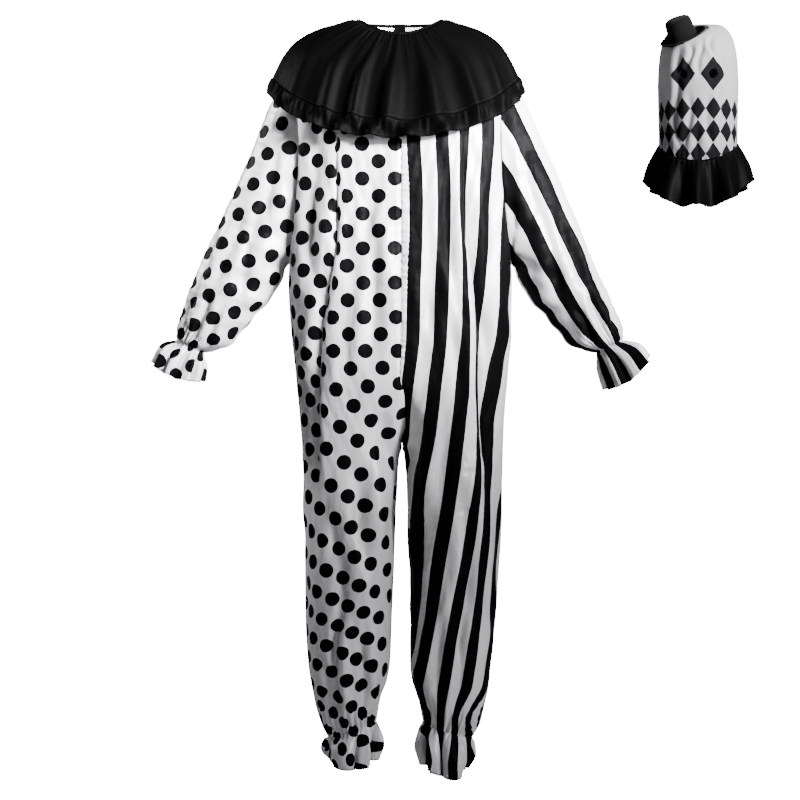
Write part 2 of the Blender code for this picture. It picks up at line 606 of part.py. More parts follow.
def make_placket(dotted, dotted_normals, striped, striped_normals, material):
    """The strip over the front closure: points of both front panels, moved out."""
    first, last = PLACKET_ROWS
    length = np.linspace(0, 1, last + 1 - first)
    tapered = np.clip((length - 1 + PLACKET_TAPER) / PLACKET_TAPER, 0, 1)
    striped_width = PLACKET_STRIPED + (PLACKET_FOOT - PLACKET_STRIPED) * tapered
    edges, normals = [], []
    for panel, panel_normals, width in (
        (dotted, dotted_normals, PLACKET_DOTTED), (striped, striped_normals, striped_width)):
        middle, beside = panel[first: last + 1, 0], panel[first: last + 1, 1]
        step = np.atleast_1d(width)[:, None] / np.abs(beside[:, :1] - middle[:, :1])
        edges.append(middle + (beside - middle) * step)
        normals.append(panel_normals[first: last + 1, 0])
    middle = (dotted[first: last + 1, 0] + striped[first: last + 1, 0]) / 2
    strip = np.stack([edges[0], middle, edges[1]], axis=1)
    directions = np.stack([normals[0], normals[0], normals[1]], axis=1)
    cloth_wall("front_placket", strip + directions * (SATIN + SEAM_GAP), directions, material)


def make_hood(white, black, stand):
    """The hood: a face and a back sewn over the crown and down the sides, and a flounce at its neck."""
    angles = np.linspace(-math.pi / 2, math.pi / 2, HOOD_COLUMNS + 1)
    grids = {}
    for depth, sign in (("front", -1), ("back", 1)):
        rows = []
        for row in HOOD:
            dip = row.dip if sign < 0 else row.dip / 3
            x = row.width * signed_power(np.sin(angles), 2 / HOOD_SQUARE)
            y = sign * np.maximum(getattr(row, depth) * np.cos(angles) ** (2 / HOOD_SQUARE), SEAM_GAP / 2)
            rows.append(np.stack([x, y, row.z - dip * np.cos(angles) ** HOOD_DROP], axis=-1))
        grids[depth] = np.array(rows)
    face, back = pressed(grids["front"]), pressed(grids["back"])
    face_normals, back_normals = outward(face), outward(back)
    for column in (0, -1):
        seam = share(face_normals[:, column], back_normals[:, column])
        face_normals[:, column], back_normals[:, column] = seam
    for normals in (face_normals, back_normals):
        normals[0] = unit(normals[0] * np.array([1, 0, 1]))
    for grid in (face, back):
        drawn_in(grid, 0, 1)
        drawn_in(grid, -1, -2)
    hood = cloth_wall("hood_face", face, face_normals, white, wall=KNIT, stand=stand)
    cloth_wall("hood_back", back, back_normals, white, wall=KNIT, stand=stand)
    for eye, x in EYES.items():
        cut_eye(hood, eye, x, stand)
    count = HOOD_WAVES * HOOD_WAVE_POINTS
    turn = 2 * math.pi * np.arange(count) / count
    rings = np.array([full_ring(row, turn, HOOD_SQUARE) for row in HOOD_FLOUNCE])
    waves = np.array([uneven_wave(turn, HOOD_WAVES) * row.wave for row in HOOD_FLOUNCE])
    rings += outward(rings, closed=True) * waves[..., None]
    cloth_wall("hood_flounce", rings, outward(rings, closed=True), black, closed=True, stand=stand)


def hat_lean():
    return Matrix.Rotation(HAT_LEAN, 4, "Y") @ Matrix.Rotation(HAT_NOD, 4, "X")


def pressed(points):
    """The hood's points, with those under the hat moved down along its axis to below its brim."""
    axis = np.array(hat_lean() @ Vector((0, 0, 1)))
    offsets = points - np.array(HAT_SEAT)
    rise = offsets @ axis
    aside = np.linalg.norm(offsets - rise[..., None] * axis, axis=-1)
    room = np.maximum(aside - PRESS_REACH, 0) * PRESS_SLOPE
    return points - np.maximum(rise - room, 0)[..., None] * axis


def cut_eye(hood, eye, x, stand):
    """An upright oval hole to see through."""
    reach = max(row.front for row in HOOD)
    bpy.ops.mesh.primitive_cylinder_add(
        vertices=16, radius=EYE_HEIGHT / 2, depth=reach, location=(x, -reach, EYE_Z),
        rotation=(math.pi / 2, 0, 0), scale=(EYE_WIDTH / EYE_HEIGHT, 1, 1))
    cutter = bpy.context.object
    cutter.name = eye + "_eye_cutter"
    cutter.parent = stand
    cutter.hide_render = True
    cutter.display_type = "WIRE"
    for collection in list(cutter.users_collection):
        collection.objects.unlink(cutter)
    cutters.objects.link(cutter)
    hole = hood.modifiers.new(eye + "_eye", "BOOLEAN")
    hole.operation = "DIFFERENCE"
    hole.object = cutter


def turned(name, profile, material, stand):
    """A closed profile turned round Z."""
    mesh = bpy.data.meshes.new(name)
    ring = [(index, (index + 1) % len(profile)) for index in range(len(profile))]
    if profile[0][0] == 0:
        ring = ring[:-1]
    mesh.from_pydata([(r, 0, z) for r, z in profile], ring, [])
    piece = place(name, mesh, material, stand)
    screw = piece.modifiers.new("turn", "SCREW")
    screw.steps = screw.render_steps = HAT_STEPS
    screw.use_merge_vertices = True
    screw.merge_threshold = 0.00001
    return piece


def make_hat(felt, stand):
    """The little hat: a crown and a brim, seated on the hood's face."""
    crown_in = [(max(r - FELT, 0), z - (FELT if z else 0)) for r, z in CROWN_PROFILE]
    crown = turned("hat_crown", CROWN_PROFILE[::-1] + crown_in, felt, stand)
    steps = np.linspace(0, 1, 5)
    radii = BRIM_HOLE + (BRIM_RADIUS - BRIM_HOLE) * steps
    top = list(zip(radii, BRIM_CURL * steps ** 2))
    brim = turned("hat_brim", top + [(r, z - FELT) for r, z in top[::-1]], felt, stand)
    lean, axis = hat_lean(), hat_lean() @ Vector((0, 0, 1))
    brim_top = FELT + SEAM_GAP
    brim.matrix_local = Matrix.Translation(Vector(HAT_SEAT) + axis * brim_top) @ lean
    crown.matrix_local = Matrix.Translation(Vector(HAT_SEAT) + axis * (brim_top + SEAM_GAP)) @ lean


for leftover in list(bpy.data.objects):
    bpy.data.objects.remove(leftover)
costume = bpy.data.collections.new("clown_costume")
cutters = bpy.data.collections.new("cutters")
bpy.context.scene.collection.children.link(costume)
bpy.context.scene.collection.children.link(cutters)

dotted_satin = finish("dotted_satin", (0.86, 0.86, 0.88), 0.38)
striped_satin = finish("striped_satin", (0.86, 0.86, 0.88), 0.38)
black_satin = finish("black_satin", (0.012, 0.012, 0.013), 0.35)
white_jersey = finish("white_jersey", (0.84, 0.84, 0.85), 0.7)
black_felt = finish("black_felt", (0.012, 0.013, 0.013), 0.95)

fronts = []
for half_name, half_side, satin in (("dotted", -1, dotted_satin), ("striped", 1, striped_satin)):
    fronts += make_half(half_name, half_side, satin)
    make_ruffle("wrist_ruffle_" + half_name, WRIST_RUFFLES[half_name], WRIST_WAVES, half_side, satin)
    make_ruffle("ankle_ruffle_" + half_name, ANKLE_RUFFLES[half_name], ANKLE_WAVES, half_side, satin)
make_placket(*fronts, dotted_satin)
make_collar(black_satin)
hood_stand = bpy.data.objects.new("hood_stand", None)
hood_stand.location = (*HOOD_CENTRE, 0)
hood_stand.rotation_euler = (0, 0, HOOD_TURN)
costume.objects.link(hood_stand)
make_hood(white_jersey, black_satin, hood_stand)
make_hat(black_felt, hood_stand)
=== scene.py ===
"""Dresses the clown costume: dotted and striped satin jumpsuit, black cape collar, and hood mask."""

import math
from collections import namedtuple

import bmesh
import bpy
import numpy as np
from mathutils import Matrix, Vector


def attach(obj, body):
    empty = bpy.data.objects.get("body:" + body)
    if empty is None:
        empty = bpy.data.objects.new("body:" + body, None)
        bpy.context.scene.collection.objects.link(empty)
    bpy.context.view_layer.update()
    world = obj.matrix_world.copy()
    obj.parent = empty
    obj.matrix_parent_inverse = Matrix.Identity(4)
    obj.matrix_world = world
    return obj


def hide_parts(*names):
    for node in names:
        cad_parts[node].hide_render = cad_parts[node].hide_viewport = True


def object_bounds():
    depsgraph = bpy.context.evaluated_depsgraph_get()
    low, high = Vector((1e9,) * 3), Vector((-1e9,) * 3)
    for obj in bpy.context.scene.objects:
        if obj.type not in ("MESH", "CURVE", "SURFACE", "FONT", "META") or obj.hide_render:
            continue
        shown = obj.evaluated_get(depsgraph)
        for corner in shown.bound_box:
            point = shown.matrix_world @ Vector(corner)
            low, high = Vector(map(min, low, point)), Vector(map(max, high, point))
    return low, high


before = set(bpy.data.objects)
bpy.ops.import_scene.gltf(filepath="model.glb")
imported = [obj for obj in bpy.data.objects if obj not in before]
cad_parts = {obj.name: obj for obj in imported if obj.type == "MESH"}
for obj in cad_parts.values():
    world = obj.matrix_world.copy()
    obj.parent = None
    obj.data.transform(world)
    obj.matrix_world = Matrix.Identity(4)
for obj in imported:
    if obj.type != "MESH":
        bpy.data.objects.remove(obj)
cad_box = [list(corner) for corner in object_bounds()]

# ---- Studio -------------------------------------------------------------------------------------------
# A level camera at mid-height of the suit, a pale floor just under its hems, and soft light from above
# and in front.

CAMERA_DISTANCE = 3.78
CAMERA_HEIGHT = -0.728
FIELD_WIDTH = 1.6  # metres across the picture, at the origin's depth
FLOOR_DROP = 0.004  # below the lowest hem
FLOOR_RADIUS = 30
FLOOR_COLOUR = (0.8, 0.8, 0.8, 1)
FLOOR_ROUGHNESS = 0.9
BACKDROP_GLOW = 20.0  # how bright the camera sees the floor and the air
AIR_LIGHT = 0.05  # how much the air lights the cloth


def set_inputs(tree, node, inputs):
    """Sets a node's inputs to values, or links them to other nodes' outputs."""
    for name, value in inputs.items():
        if isinstance(value, bpy.types.NodeSocket):
            tree.links.new(value, node.inputs[name])
        else:
            node.inputs[name].default_value = value


def add_node(tree, kind, inputs=None, **settings):
    """A new node with its settings and its inputs."""
    node = tree.nodes.new(kind)
    for name, value in settings.items():
        setattr(node, name, value)
    set_inputs(tree, node, inputs or {})
    return node


def new_material(name):
    """A material with its node tree and its shader."""
    material = bpy.data.materials.new(name)
    material.use_nodes = True
    return material, material.node_tree, material.node_tree.nodes["Principled BSDF"]


camera_data = bpy.data.cameras.new("camera")
camera_data.lens = camera_data.sensor_width * CAMERA_DISTANCE / FIELD_WIDTH
camera = bpy.data.objects.new("camera", camera_data)
camera.location = (0, -CAMERA_DISTANCE, CAMERA_HEIGHT)
camera.rotation_euler = (math.pi / 2, 0, 0)
bpy.context.scene.collection.objects.link(camera)
bpy.context.scene.camera = camera

floor_mesh = bpy.data.meshes.new("floor")
floor_shape = bmesh.new()
bmesh.ops.create_circle(floor_shape, cap_ends=True, segments=64, radius=FLOOR_RADIUS)
floor_shape.to_mesh(floor_mesh)
floor_shape.free()
floor = bpy.data.objects.new("floor", floor_mesh)
floor.location.z = cad_box[0][2] - FLOOR_DROP
bpy.context.scene.collection.objects.link(floor)

pale_floor, tree, shader = new_material("pale_floor")
set_inputs(tree, shader, {"Base Color": FLOOR_COLOUR, "Roughness": FLOOR_ROUGHNESS})
seen = add_node(tree, "ShaderNodeLightPath").outputs["Is Camera Ray"]
glow = add_node(tree, "ShaderNodeEmission", {"Strength": BACKDROP_GLOW})
blend = add_node(tree, "ShaderNodeMixShader", {
    "Fac": seen, 1: shader.outputs["BSDF"], 2: glow.outputs["Emission"]})
set_inputs(tree, tree.nodes["Material Output"], {"Surface": blend.outputs["Shader"]})
floor_mesh.materials.append(pale_floor)

world = bpy.data.worlds.new("studio")
world.use_nodes = True
seen = add_node(world.node_tree, "ShaderNodeLightPath").outputs["Is Camera Ray"]
strength = add_node(world.node_tree, "ShaderNodeMapRange", {
    "Value": seen, "To Min": AIR_LIGHT, "To Max": BACKDROP_GLOW})
set_inputs(world.node_tree, world.node_tree.nodes["Background"], {
    "Color": (1, 1, 1, 1), "Strength": strength.outputs["Result"]})
bpy.context.scene.world = world

Light = namedtuple("Light", "name place aim width height spread power")
for light in (
    Light("key", (1.75, -1.8, 0.42), (-0.02, 0, 0.03), 1.1, 0.4, 38, 104),
    Light("low", (2.20, -1.8, -0.20), (0, 0, -0.95), 0.5, 0.5, 180, 84),
    Light("front", (-0.4, -3.2, 0.20), (0, 0, -0.55), 0.6, 0.6, 180, 11),
    Light("left", (-2.4, 0.5, 0.9), (-0.35, 0, -0.20), 0.8, 0.8, 34, 9),
):
    lamp = bpy.data.lights.new(light.name, "AREA")
    lamp.shape = "RECTANGLE"
    lamp.size, lamp.size_y = light.width, light.height
    lamp.spread = math.radians(light.spread)
    lamp.energy = light.power
    holder = bpy.data.objects.new(light.name, lamp)
    holder.location = light.place
    holder.rotation_euler = (Vector(light.aim) - holder.location).to_track_quat("-Z", "Y").to_euler()
    bpy.context.scene.collection.objects.link(holder)

# ---- Jumpsuit body ------------------------------------------------------------------------------------
# Each half is a front and a back panel of printed polyester satin, sewn at the side and the inseam, and
# runs on through the elastic at the ankle into a ruffle. A long crease is pressed into each panel.

# Shoulders and neck: half a width, depths in front and behind, heights, and how square the ring is
Yoke = namedtuple("Yoke", "width front back z_side z_front z_back square")
YOKE = [
    Yoke(0.0825, 0.0655, 0.0575, 0.0255, -0.0125, 0.0275, 2.1),
    Yoke(0.117, 0.081, 0.069, 0.008, -0.042, 0.006, 2.1),
    Yoke(0.162, 0.100, 0.086, -0.012, -0.070, -0.024, 2.2),
    Yoke(0.200, 0.110, 0.098, -0.036, -0.100, -0.060, 2.3),
]
Torso = namedtuple("Torso", "z dotted striped front back square")
TORSO = [
    Torso(-0.036, 0.200, 0.200, 0.108, 0.096, 2.3),
    Torso(-0.120, 0.214, 0.209, 0.115, 0.104, 2.7),
    Torso(-0.250, 0.217, 0.215, 0.121, 0.107, 2.9),
    Torso(-0.380, 0.219, 0.219, 0.124, 0.108, 2.9),
    Torso(-0.454, 0.2215, 0.2215, 0.125, 0.108, 2.8),
    Torso(-0.498, 0.223, 0.224, 0.125, 0.109, 2.7),
    Torso(-0.588, 0.218, 0.222, 0.123, 0.111, 2.6),
    Torso(-0.678, 0.208, 0.216, 0.120, 0.113, 2.5),
    Torso(-0.768, 0.200, 0.208, 0.117, 0.115, 2.4),
    Torso(-0.870, 0.193, 0.205, 0.113, 0.114, 2.3),
    Torso(-0.960, 0.192, 0.204, 0.109, 0.110, 2.2),
]
# From the crotch down: inner and outer side, depth, how far the ring tilts, and how far it is turned
Leg = namedtuple("Leg", "z in_dotted in_striped out_dotted out_striped depth tilt turn")
LEG = [
    Leg(-0.700, 0.0004, 0.0004, 0.203, 0.212, 0.108, 0.000, 0.000),
    Leg(-0.827, 0.0004, 0.0004, 0.196, 0.206, 0.103, 0.000, 0.000),
    Leg(-0.834, 0.0036, 0.0036, 0.196, 0.206, 0.103, 0.000, 0.000),
    Leg(-0.860, 0.0068, 0.0066, 0.194, 0.205, 0.102, 0.000, 0.000),
    Leg(-0.888, 0.0080, 0.0094, 0.193, 0.204, 0.100, 0.000, 0.006),
    Leg(-0.928, 0.0084, 0.0116, 0.194, 0.204, 0.097, 0.000, 0.020),
    Leg(-0.948, 0.0080, 0.0140, 0.194, 0.204, 0.096, 0.000, 0.030),
    Leg(-1.008, 0.0100, 0.0160, 0.190, 0.202, 0.092, 0.000, 0.060),
    Leg(-1.080, 0.0125, 0.0185, 0.190, 0.197, 0.089, 0.000, 0.080),
    Leg(-1.165, 0.0160, 0.0200, 0.189, 0.191, 0.084, 0.000, 0.058),
    Leg(-1.248, 0.0190, 0.0210, 0.184, 0.182, 0.079, 0.004, 0.035),
    Leg(-1.295, 0.0260, 0.0270, 0.176, 0.177, 0.073, 0.012, 0.030),
    Leg(-1.330, 0.0390, 0.0360, 0.167, 0.168, 0.065, 0.020, 0.030),
    Leg(-1.360, 0.0460, 0.0430, 0.155, 0.158, 0.053, 0.028, 0.030),
    Leg(-1.384, 0.0500, 0.0480, 0.140, 0.142, 0.041, 0.034, 0.030),
]
# Rings that lean: outer and inner point, depth, and the height of the waves
Ruffle = namedtuple("Ruffle", "out z_out inner z_in depth wave")
ANKLE_RUFFLES = {
    "dotted": [
        Ruffle(0.1400, -1.4013, 0.0500, -1.3673, 0.0410, 0.0000),
        Ruffle(0.1480, -1.4080, 0.0430, -1.3860, 0.0500, 0.0055),
        Ruffle(0.1510, -1.4230, 0.0410, -1.4080, 0.0570, 0.0085),
        Ruffle(0.1400, -1.4380, 0.0470, -1.4320, 0.0550, 0.0060),
    ],
    "striped": [
        Ruffle(0.1420, -1.4013, 0.0480, -1.3673, 0.0410, 0.0000),
        Ruffle(0.1450, -1.4140, 0.0370, -1.3880, 0.0500, 0.0055),
        Ruffle(0.1450, -1.4350, 0.0350, -1.4120, 0.0570, 0.0085),
        Ruffle(0.1340, -1.4600, 0.0440, -1.4400, 0.0550, 0.0060),
    ],
}
ANKLE_SAG = 0.023  # how much lower the hem hangs in front and behind
# The long crease: how far out it lies on each half, and how deep it is
Crease = namedtuple("Crease", "z dotted striped depth")
CREASES = [
    Crease(-0.100, 0.118, 0.120, 0.000),
    Crease(-0.200, 0.121, 0.124, 0.004),
    Crease(-0.300, 0.122, 0.125, 0.009),
    Crease(-0.400, 0.123, 0.128, 0.013),
    Crease(-0.500, 0.137, 0.145, 0.014),
    Crease(-0.600, 0.157, 0.155, 0.014),
    Crease(-0.700, 0.161, 0.156, 0.014),
    Crease(-0.820, 0.161, 0.162, 0.011),
    Crease(-0.870, 0.161, 0.167, 0.007),
    Crease(-0.950, 0.158, 0.161, 0.002),
    Crease(-1.050, 0.150, 0.152, 0.000),
    Crease(-1.400, 0.110, 0.115, 0.000),
]
CREASE_ROLL = 0.018  # how wide the cloth rolls under before the crease
CREASE_REACH = 0.019  # the columns are close together this far on either side of it
SHOULDER_TIP = (0.200, -0.036)
UNDERARM = (0.2215, -0.454)
ARMHOLE_HALF_DEPTH = 0.060
ARMHOLE_ROLL = 0.011
ROLL_LEAD = 0.013  # where a panel starts to turn in towards the armhole
BODY_DROP = 2.2  # how quickly a slanting ring falls from the side to the middle
LEG_SQUARE = 2.2
CROTCH_TOP = -0.700
CROTCH_POINT = -0.827
CROTCH_POWER = 1.6  # how suddenly the middle parts towards the point
FORK_TOP = CROTCH_TOP
FORK_END = -0.960
FORK_REACH = 0.16  # how far round from the middle the parting reaches
YOKE_ROWS = 14
ARMHOLE_ROWS = 52
TORSO_ROWS = 44
CROTCH_ROWS = 24
LEG_ROWS = 96
RUFFLE_ROWS = 16
PANEL_COLUMNS = (26, 24, 20, 6)  # middle to crease, across it, crease to side roll, and the roll
CREASE_COLUMN = PANEL_COLUMNS[0] + PANEL_COLUMNS[1] // 2


def smooth(places, values, at):
    """A curve through values at rising places that doesn't swing past them (monotone cubic)."""
    places, values = np.asarray(places, float), np.asarray(values, float)
    at = np.asarray(at, float)
    sides = (1,) * (values.ndim - 1)
    step = np.diff(places).reshape(-1, *sides)
    rise = np.diff(values, axis=0) / step
    slope = np.zeros_like(values)
    before, after = rise[:-1], rise[1:]
    total = before + after
    safe = np.where(np.abs(total) > 1e-12, total, 1)
    slope[1:-1] = np.where(before * after > 0, 2 * before * after / safe, 0)
    slope[0], slope[-1] = rise[0], rise[-1]
    index = np.clip(np.searchsorted(places, at) - 1, 0, len(places) - 2)
    span = places[index + 1] - places[index]
    u = np.reshape(np.clip((at - places[index]) / span, 0, 1), (*at.shape, *sides))
    span = np.reshape(span, (*at.shape, *sides))
    low, high = values[index], values[index + 1]
    start = low * (1 + 2 * u) * (1 - u) ** 2 + high * u * u * (3 - 2 * u)
    return start + span * u * (1 - u) * (slope[index] * (1 - u) - slope[index + 1] * u)


def along(table, column, z):
    """A named column of a table, at heights z."""
    heights = np.array([row.z for row in table])
    values = np.array([getattr(row, column) for row in table])
    return smooth(-heights, values, -np.asarray(z, float))


def eased(values):
    clipped = np.clip(values, 0, 1)
    return clipped * clipped * (3 - 2 * clipped)


def below(z, height, over):
    """0 above a height, and rising to 1 over a distance below it."""
    return eased((height - z) / over)


def above(z, height, over):
    """0 below a height, and rising to 1 over a distance above it."""
    return eased((z - height) / over)


def wave(count, turn, phase=0.0):
    """A ripple with so many waves to one turn."""
    return np.sin(2 * math.pi * count * turn + phase)


def unit(vectors):
    return vectors / np.maximum(np.linalg.norm(vectors, axis=-1, keepdims=True), 1e-12)


def signed_power(values, power):
    return np.sign(values) * np.abs(values) ** power


def outward(points, closed=False):
    """Unit normals of a grid of points, rows by columns, away from the middle of its rows."""
    if closed:
        across = np.roll(points[:, :-1], -1, axis=1) - np.roll(points[:, :-1], 1, axis=1)
        across = np.concatenate([across, across[:, :1]], axis=1)
    else:
        across = np.gradient(points, axis=1)
    normals = unit(np.cross(across, np.gradient(points, axis=0)))
    from_middle = points - points.mean(axis=1, keepdims=True)
    return normals if (normals * from_middle).sum() > 0 else -normals


def half_ring(width, front, back, square, z_side, z_front, z_back, t):
    """Half of a ring round the body: t is 0 at the front's middle, 0.5 at the side, 1 at the back's."""
    sine, cosine = np.sin(math.pi * t), np.cos(math.pi * t)
    depth = np.where(cosine > 0, front, back)
    z_end = np.where(cosine > 0, z_front, z_back)
    x = width * np.abs(sine) ** (2 / square)
    y = -depth * signed_power(cosine, 2 / square)
    return np.stack([x, y, z_side + (z_end - z_side) * np.abs(cosine) ** BODY_DROP], axis=-1)


def leg_ring(half, z, t):
    """The ring round one leg: t is 0 and 1 at the inseam, 0.25 in front, 0.5 at the outer side."""
    inner, outer = along(LEG, "in_" + half, z), along(LEG, "out_" + half, z)
    depth, tilt = along(LEG, "depth", z), along(LEG, "tilt", z)
    turn = along(LEG, "turn", z) if half == "striped" else 0
    angle = 2 * math.pi * (t + turn * np.cos(math.pi * t) ** 2)
    lean = -signed_power(np.cos(angle), 2 / LEG_SQUARE)
    x = (inner + outer) / 2 + lean * (outer - inner) / 2
    y = -depth * signed_power(np.sin(angle), 2 / LEG_SQUARE)
    return np.stack([x, y, z - lean * tilt / 2], axis=-1)


def torso_ring(half, t, z_side, z_front, z_back):
    front, back = along(TORSO, "front", z_front), along(TORSO, "back", z_back)
    width, square = along(TORSO, half, z_side), along(TORSO, "square", z_side)
    return half_ring(width, front, back, square, z_side, z_front, z_back, t)


def fork_ring(half, t, z, apart):
    """A level row where the torso turns into a leg: apart is 1 on the torso's middle, 0 at the inseam."""
    way = float(np.clip((FORK_TOP - z) / (FORK_TOP - FORK_END), 0, 1))
    leg_share = way * way * (3 - 2 * way)

    def blend_at(at, share_of_leg):
        return (1 - share_of_leg) * torso_ring(half, at, z, z, z) + share_of_leg * leg_ring(half, z, at)

    row = blend_at(t, leg_share)
    for end in (0.0, 1.0):
        at_end = np.array([end])
        near_end = np.clip(1 - np.abs(t - end) / FORK_REACH, 0, 1)[:, None] ** 2
        row += near_end * (blend_at(at_end, 1 - apart) - blend_at(at_end, leg_share))
    return row


def armhole(turn):
    """A point of the armhole, x out from the middle: turn is 0 at the shoulder, 0.5 at the underarm."""
    angle = 2 * math.pi * turn
    down = (1 - np.cos(angle)) / 2
    x = SHOULDER_TIP[0] + (UNDERARM[0] - SHOULDER_TIP[0]) * down - ARMHOLE_ROLL * np.sin(angle) ** 2
    z = SHOULDER_TIP[1] + (UNDERARM[1] - SHOULDER_TIP[1]) * down
    return np.stack([x, -ARMHOLE_HALF_DEPTH * np.sin(angle), z], axis=-1)


def oval(row, turn):
    """A ring in the plane through its outer and its inner point: turn is 0 at the outer one."""
    middle = np.array([(row.out + row.inner) / 2, 0, (row.z_out + row.z_in) / 2])
    reach = np.array([(row.out - row.inner) / 2, 0, (row.z_out - row.z_in) / 2])
    angle = 2 * math.pi * turn[:, None]
    return middle + np.cos(angle) * reach - np.sin(angle) * np.array([0, row.depth, 0])


def body_rows(half):
    """Each row of one half as a curve of t, with the armhole's turn where it ends there."""
    rows = []
    for step in np.linspace(0, len(YOKE) - 1, YOKE_ROWS, endpoint=False):
        yoke = Yoke(*smooth(np.arange(len(YOKE)), np.array(YOKE), step))
        rows.append((lambda t, row=yoke: half_ring(row.width, row.front, row.back, row.square, row.z_side,
                                                   row.z_front, row.z_back, t), None))
    tip = YOKE[-1]
    for step in np.linspace(0, 1, ARMHOLE_ROWS + 1):
        z_side = float(armhole(step / 2)[2])
        z_front = tip.z_front + (UNDERARM[1] - tip.z_front) * step
        z_back = tip.z_back + (UNDERARM[1] - tip.z_back) * step
        rows.append((lambda t, z=(z_side, z_front, z_back): torso_ring(half, t, *z), step / 2))
    for z in np.linspace(UNDERARM[1], CROTCH_TOP, TORSO_ROWS + 1)[1:-1]:
        rows.append((lambda t, z=z: fork_ring(half, t, z, 1), None))
    for down in np.linspace(0, 1, CROTCH_ROWS):
        z = CROTCH_TOP + (CROTCH_POINT - CROTCH_TOP) * down
        apart = 1 - down ** CROTCH_POWER
        rows.append((lambda t, z=z, apart=apart: fork_ring(half, t, z, apart), None))
    for z in np.linspace(CROTCH_POINT, LEG[-1].z, LEG_ROWS + 1)[1:]:
        rows.append((lambda t, z=z: fork_ring(half, t, z, 0), None))
    table = ANKLE_RUFFLES[half]
    for step in np.linspace(0, len(table) - 1, RUFFLE_ROWS + 1)[1:]:
        row = Ruffle(*smooth(np.arange(len(table)), np.array(table), step))
        sag = np.array([0, 0, ANKLE_SAG * step / (len(table) - 1)])
        rows.append((lambda t, row=row, sag=sag: oval(row, 0.5 - t) - np.abs(wave(1, t))[:, None] * sag,
                     None))
    return rows


# The front's middle seam wanders this far towards the striped half
Wander = namedtuple("Wander", "z aside")
WANDER = [
    Wander(-0.100, 0.0030), Wander(-0.600, 0.0035), Wander(-0.690, 0.0010), Wander(-0.712, 0.0068),
    Wander(-0.736, 0.0093), Wander(-0.798, 0.0110), Wander(-0.827, 0.0042), Wander(-0.888, 0.0036),
    Wander(-0.928, 0.0018), Wander(-0.948, 0.0), Wander(-1.400, 0.0),
]
WANDER_REACH = 0.035


def wander(points, side):
    """Moves the front's middle seam aside, and the cloth near it with it."""
    aside = along(WANDER, "aside", points[..., 2]) * np.exp(-(points[..., 0] / WANDER_REACH) ** 2)
    front = np.maximum(np.clip(-points[..., 1] / 0.05, 0, 1), below(points[..., 2], -0.80, 0.027))
    moved = points.copy()
    moved[..., 0] += side * aside * front
    return moved


SIDE_ROLL = 0.45  # where the side's roll starts, away from the armhole
ROLL_MARGINS = (0.80, 0.88)  # the crease's close columns start and end at most this far towards the roll


def row_stops(base, t, crease_x, turn, seam, evenly):
    """Where a panel's columns lie along one row: close together across the crease and at the side."""
    middle_count, across_count, side_count, roll_count = PANEL_COLUMNS
    roll = SIDE_ROLL
    if seam is not None:
        in_front = np.abs(base[:, 1]) > abs(seam[1])
        apart = np.linalg.norm(base - seam, axis=1) > ROLL_LEAD
        roll = t[in_front & apart][-1]
    reach = np.maximum.accumulate(base[:, 0])
    start, end = np.interp([crease_x - CREASE_REACH, crease_x + CREASE_REACH], reach, t)
    start, end = min(start, roll * ROLL_MARGINS[0]), min(end, roll * ROLL_MARGINS[1])
    stops = np.concatenate([
        np.linspace(0, start, middle_count, endpoint=False),
        np.linspace(start, end, across_count, endpoint=False),
        np.linspace(end, roll, side_count, endpoint=False),
        np.linspace(roll, 0.5, roll_count + 1)])
    return stops + (np.linspace(0, 0.5, len(stops)) - stops) * evenly, roll


EVEN_FROM, EVEN_TO = -1.05, -1.25  # the columns spread evenly round the leg between these heights
FINE_STEPS = 260  # points that a row is measured by
NECK_FACING = 5  # rows at the neck that are plain white
PLAIN_PLACE = np.array([1.5, 0.5])  # where either print is white

Panel = namedtuple("Panel", "points uv_middle uv_side")


def panel_grid(half, side, back, pattern):
    """One panel's points, x outwards, and its pattern's coordinates on each side of its crease."""
    t = np.linspace(0, 0.5, FINE_STEPS)
    points, uv_middle, uv_side = [], [], []
    for curve, turn in body_rows(half):
        base = wander(curve(1 - t if back else t), side)
        seam = None if turn is None or turn in (0, 0.5) else armhole(1 - turn if back else turn)
        height = float(base[0, 2])
        evenly = float(np.clip((EVEN_FROM - height) / (EVEN_FROM - EVEN_TO), 0, 1))
        crease_x = float(along(CREASES, half, height))
        stops, roll = row_stops(base, t, crease_x, turn, seam, evenly)
        arc = np.concatenate([[0], np.cumsum(np.linalg.norm(np.diff(base, axis=0), axis=1))])
        row = np.stack([np.interp(stops, t, base[:, axis]) for axis in range(3)], axis=1)
        if seam is not None:
            rolled = stops > roll
            share = ((stops[rolled] - roll) / (0.5 - roll))[:, None]
            row[rolled] = row[~rolled][-1] + (seam - row[~rolled][-1]) * share
        middle, beyond = pattern(base, arc, crease_x)
        places = np.interp(stops, t, arc)
        if len(points) < NECK_FACING:
            middle = beyond = np.broadcast_to(PLAIN_PLACE, middle.shape)
        points.append(row)
        for grid, uv in ((uv_middle, middle), (uv_side, beyond)):
            grid.append(np.stack([np.interp(places, arc, uv[:, axis]) for axis in range(2)], axis=1))
    return Panel(np.array(points), np.array(uv_middle), np.array(uv_side))


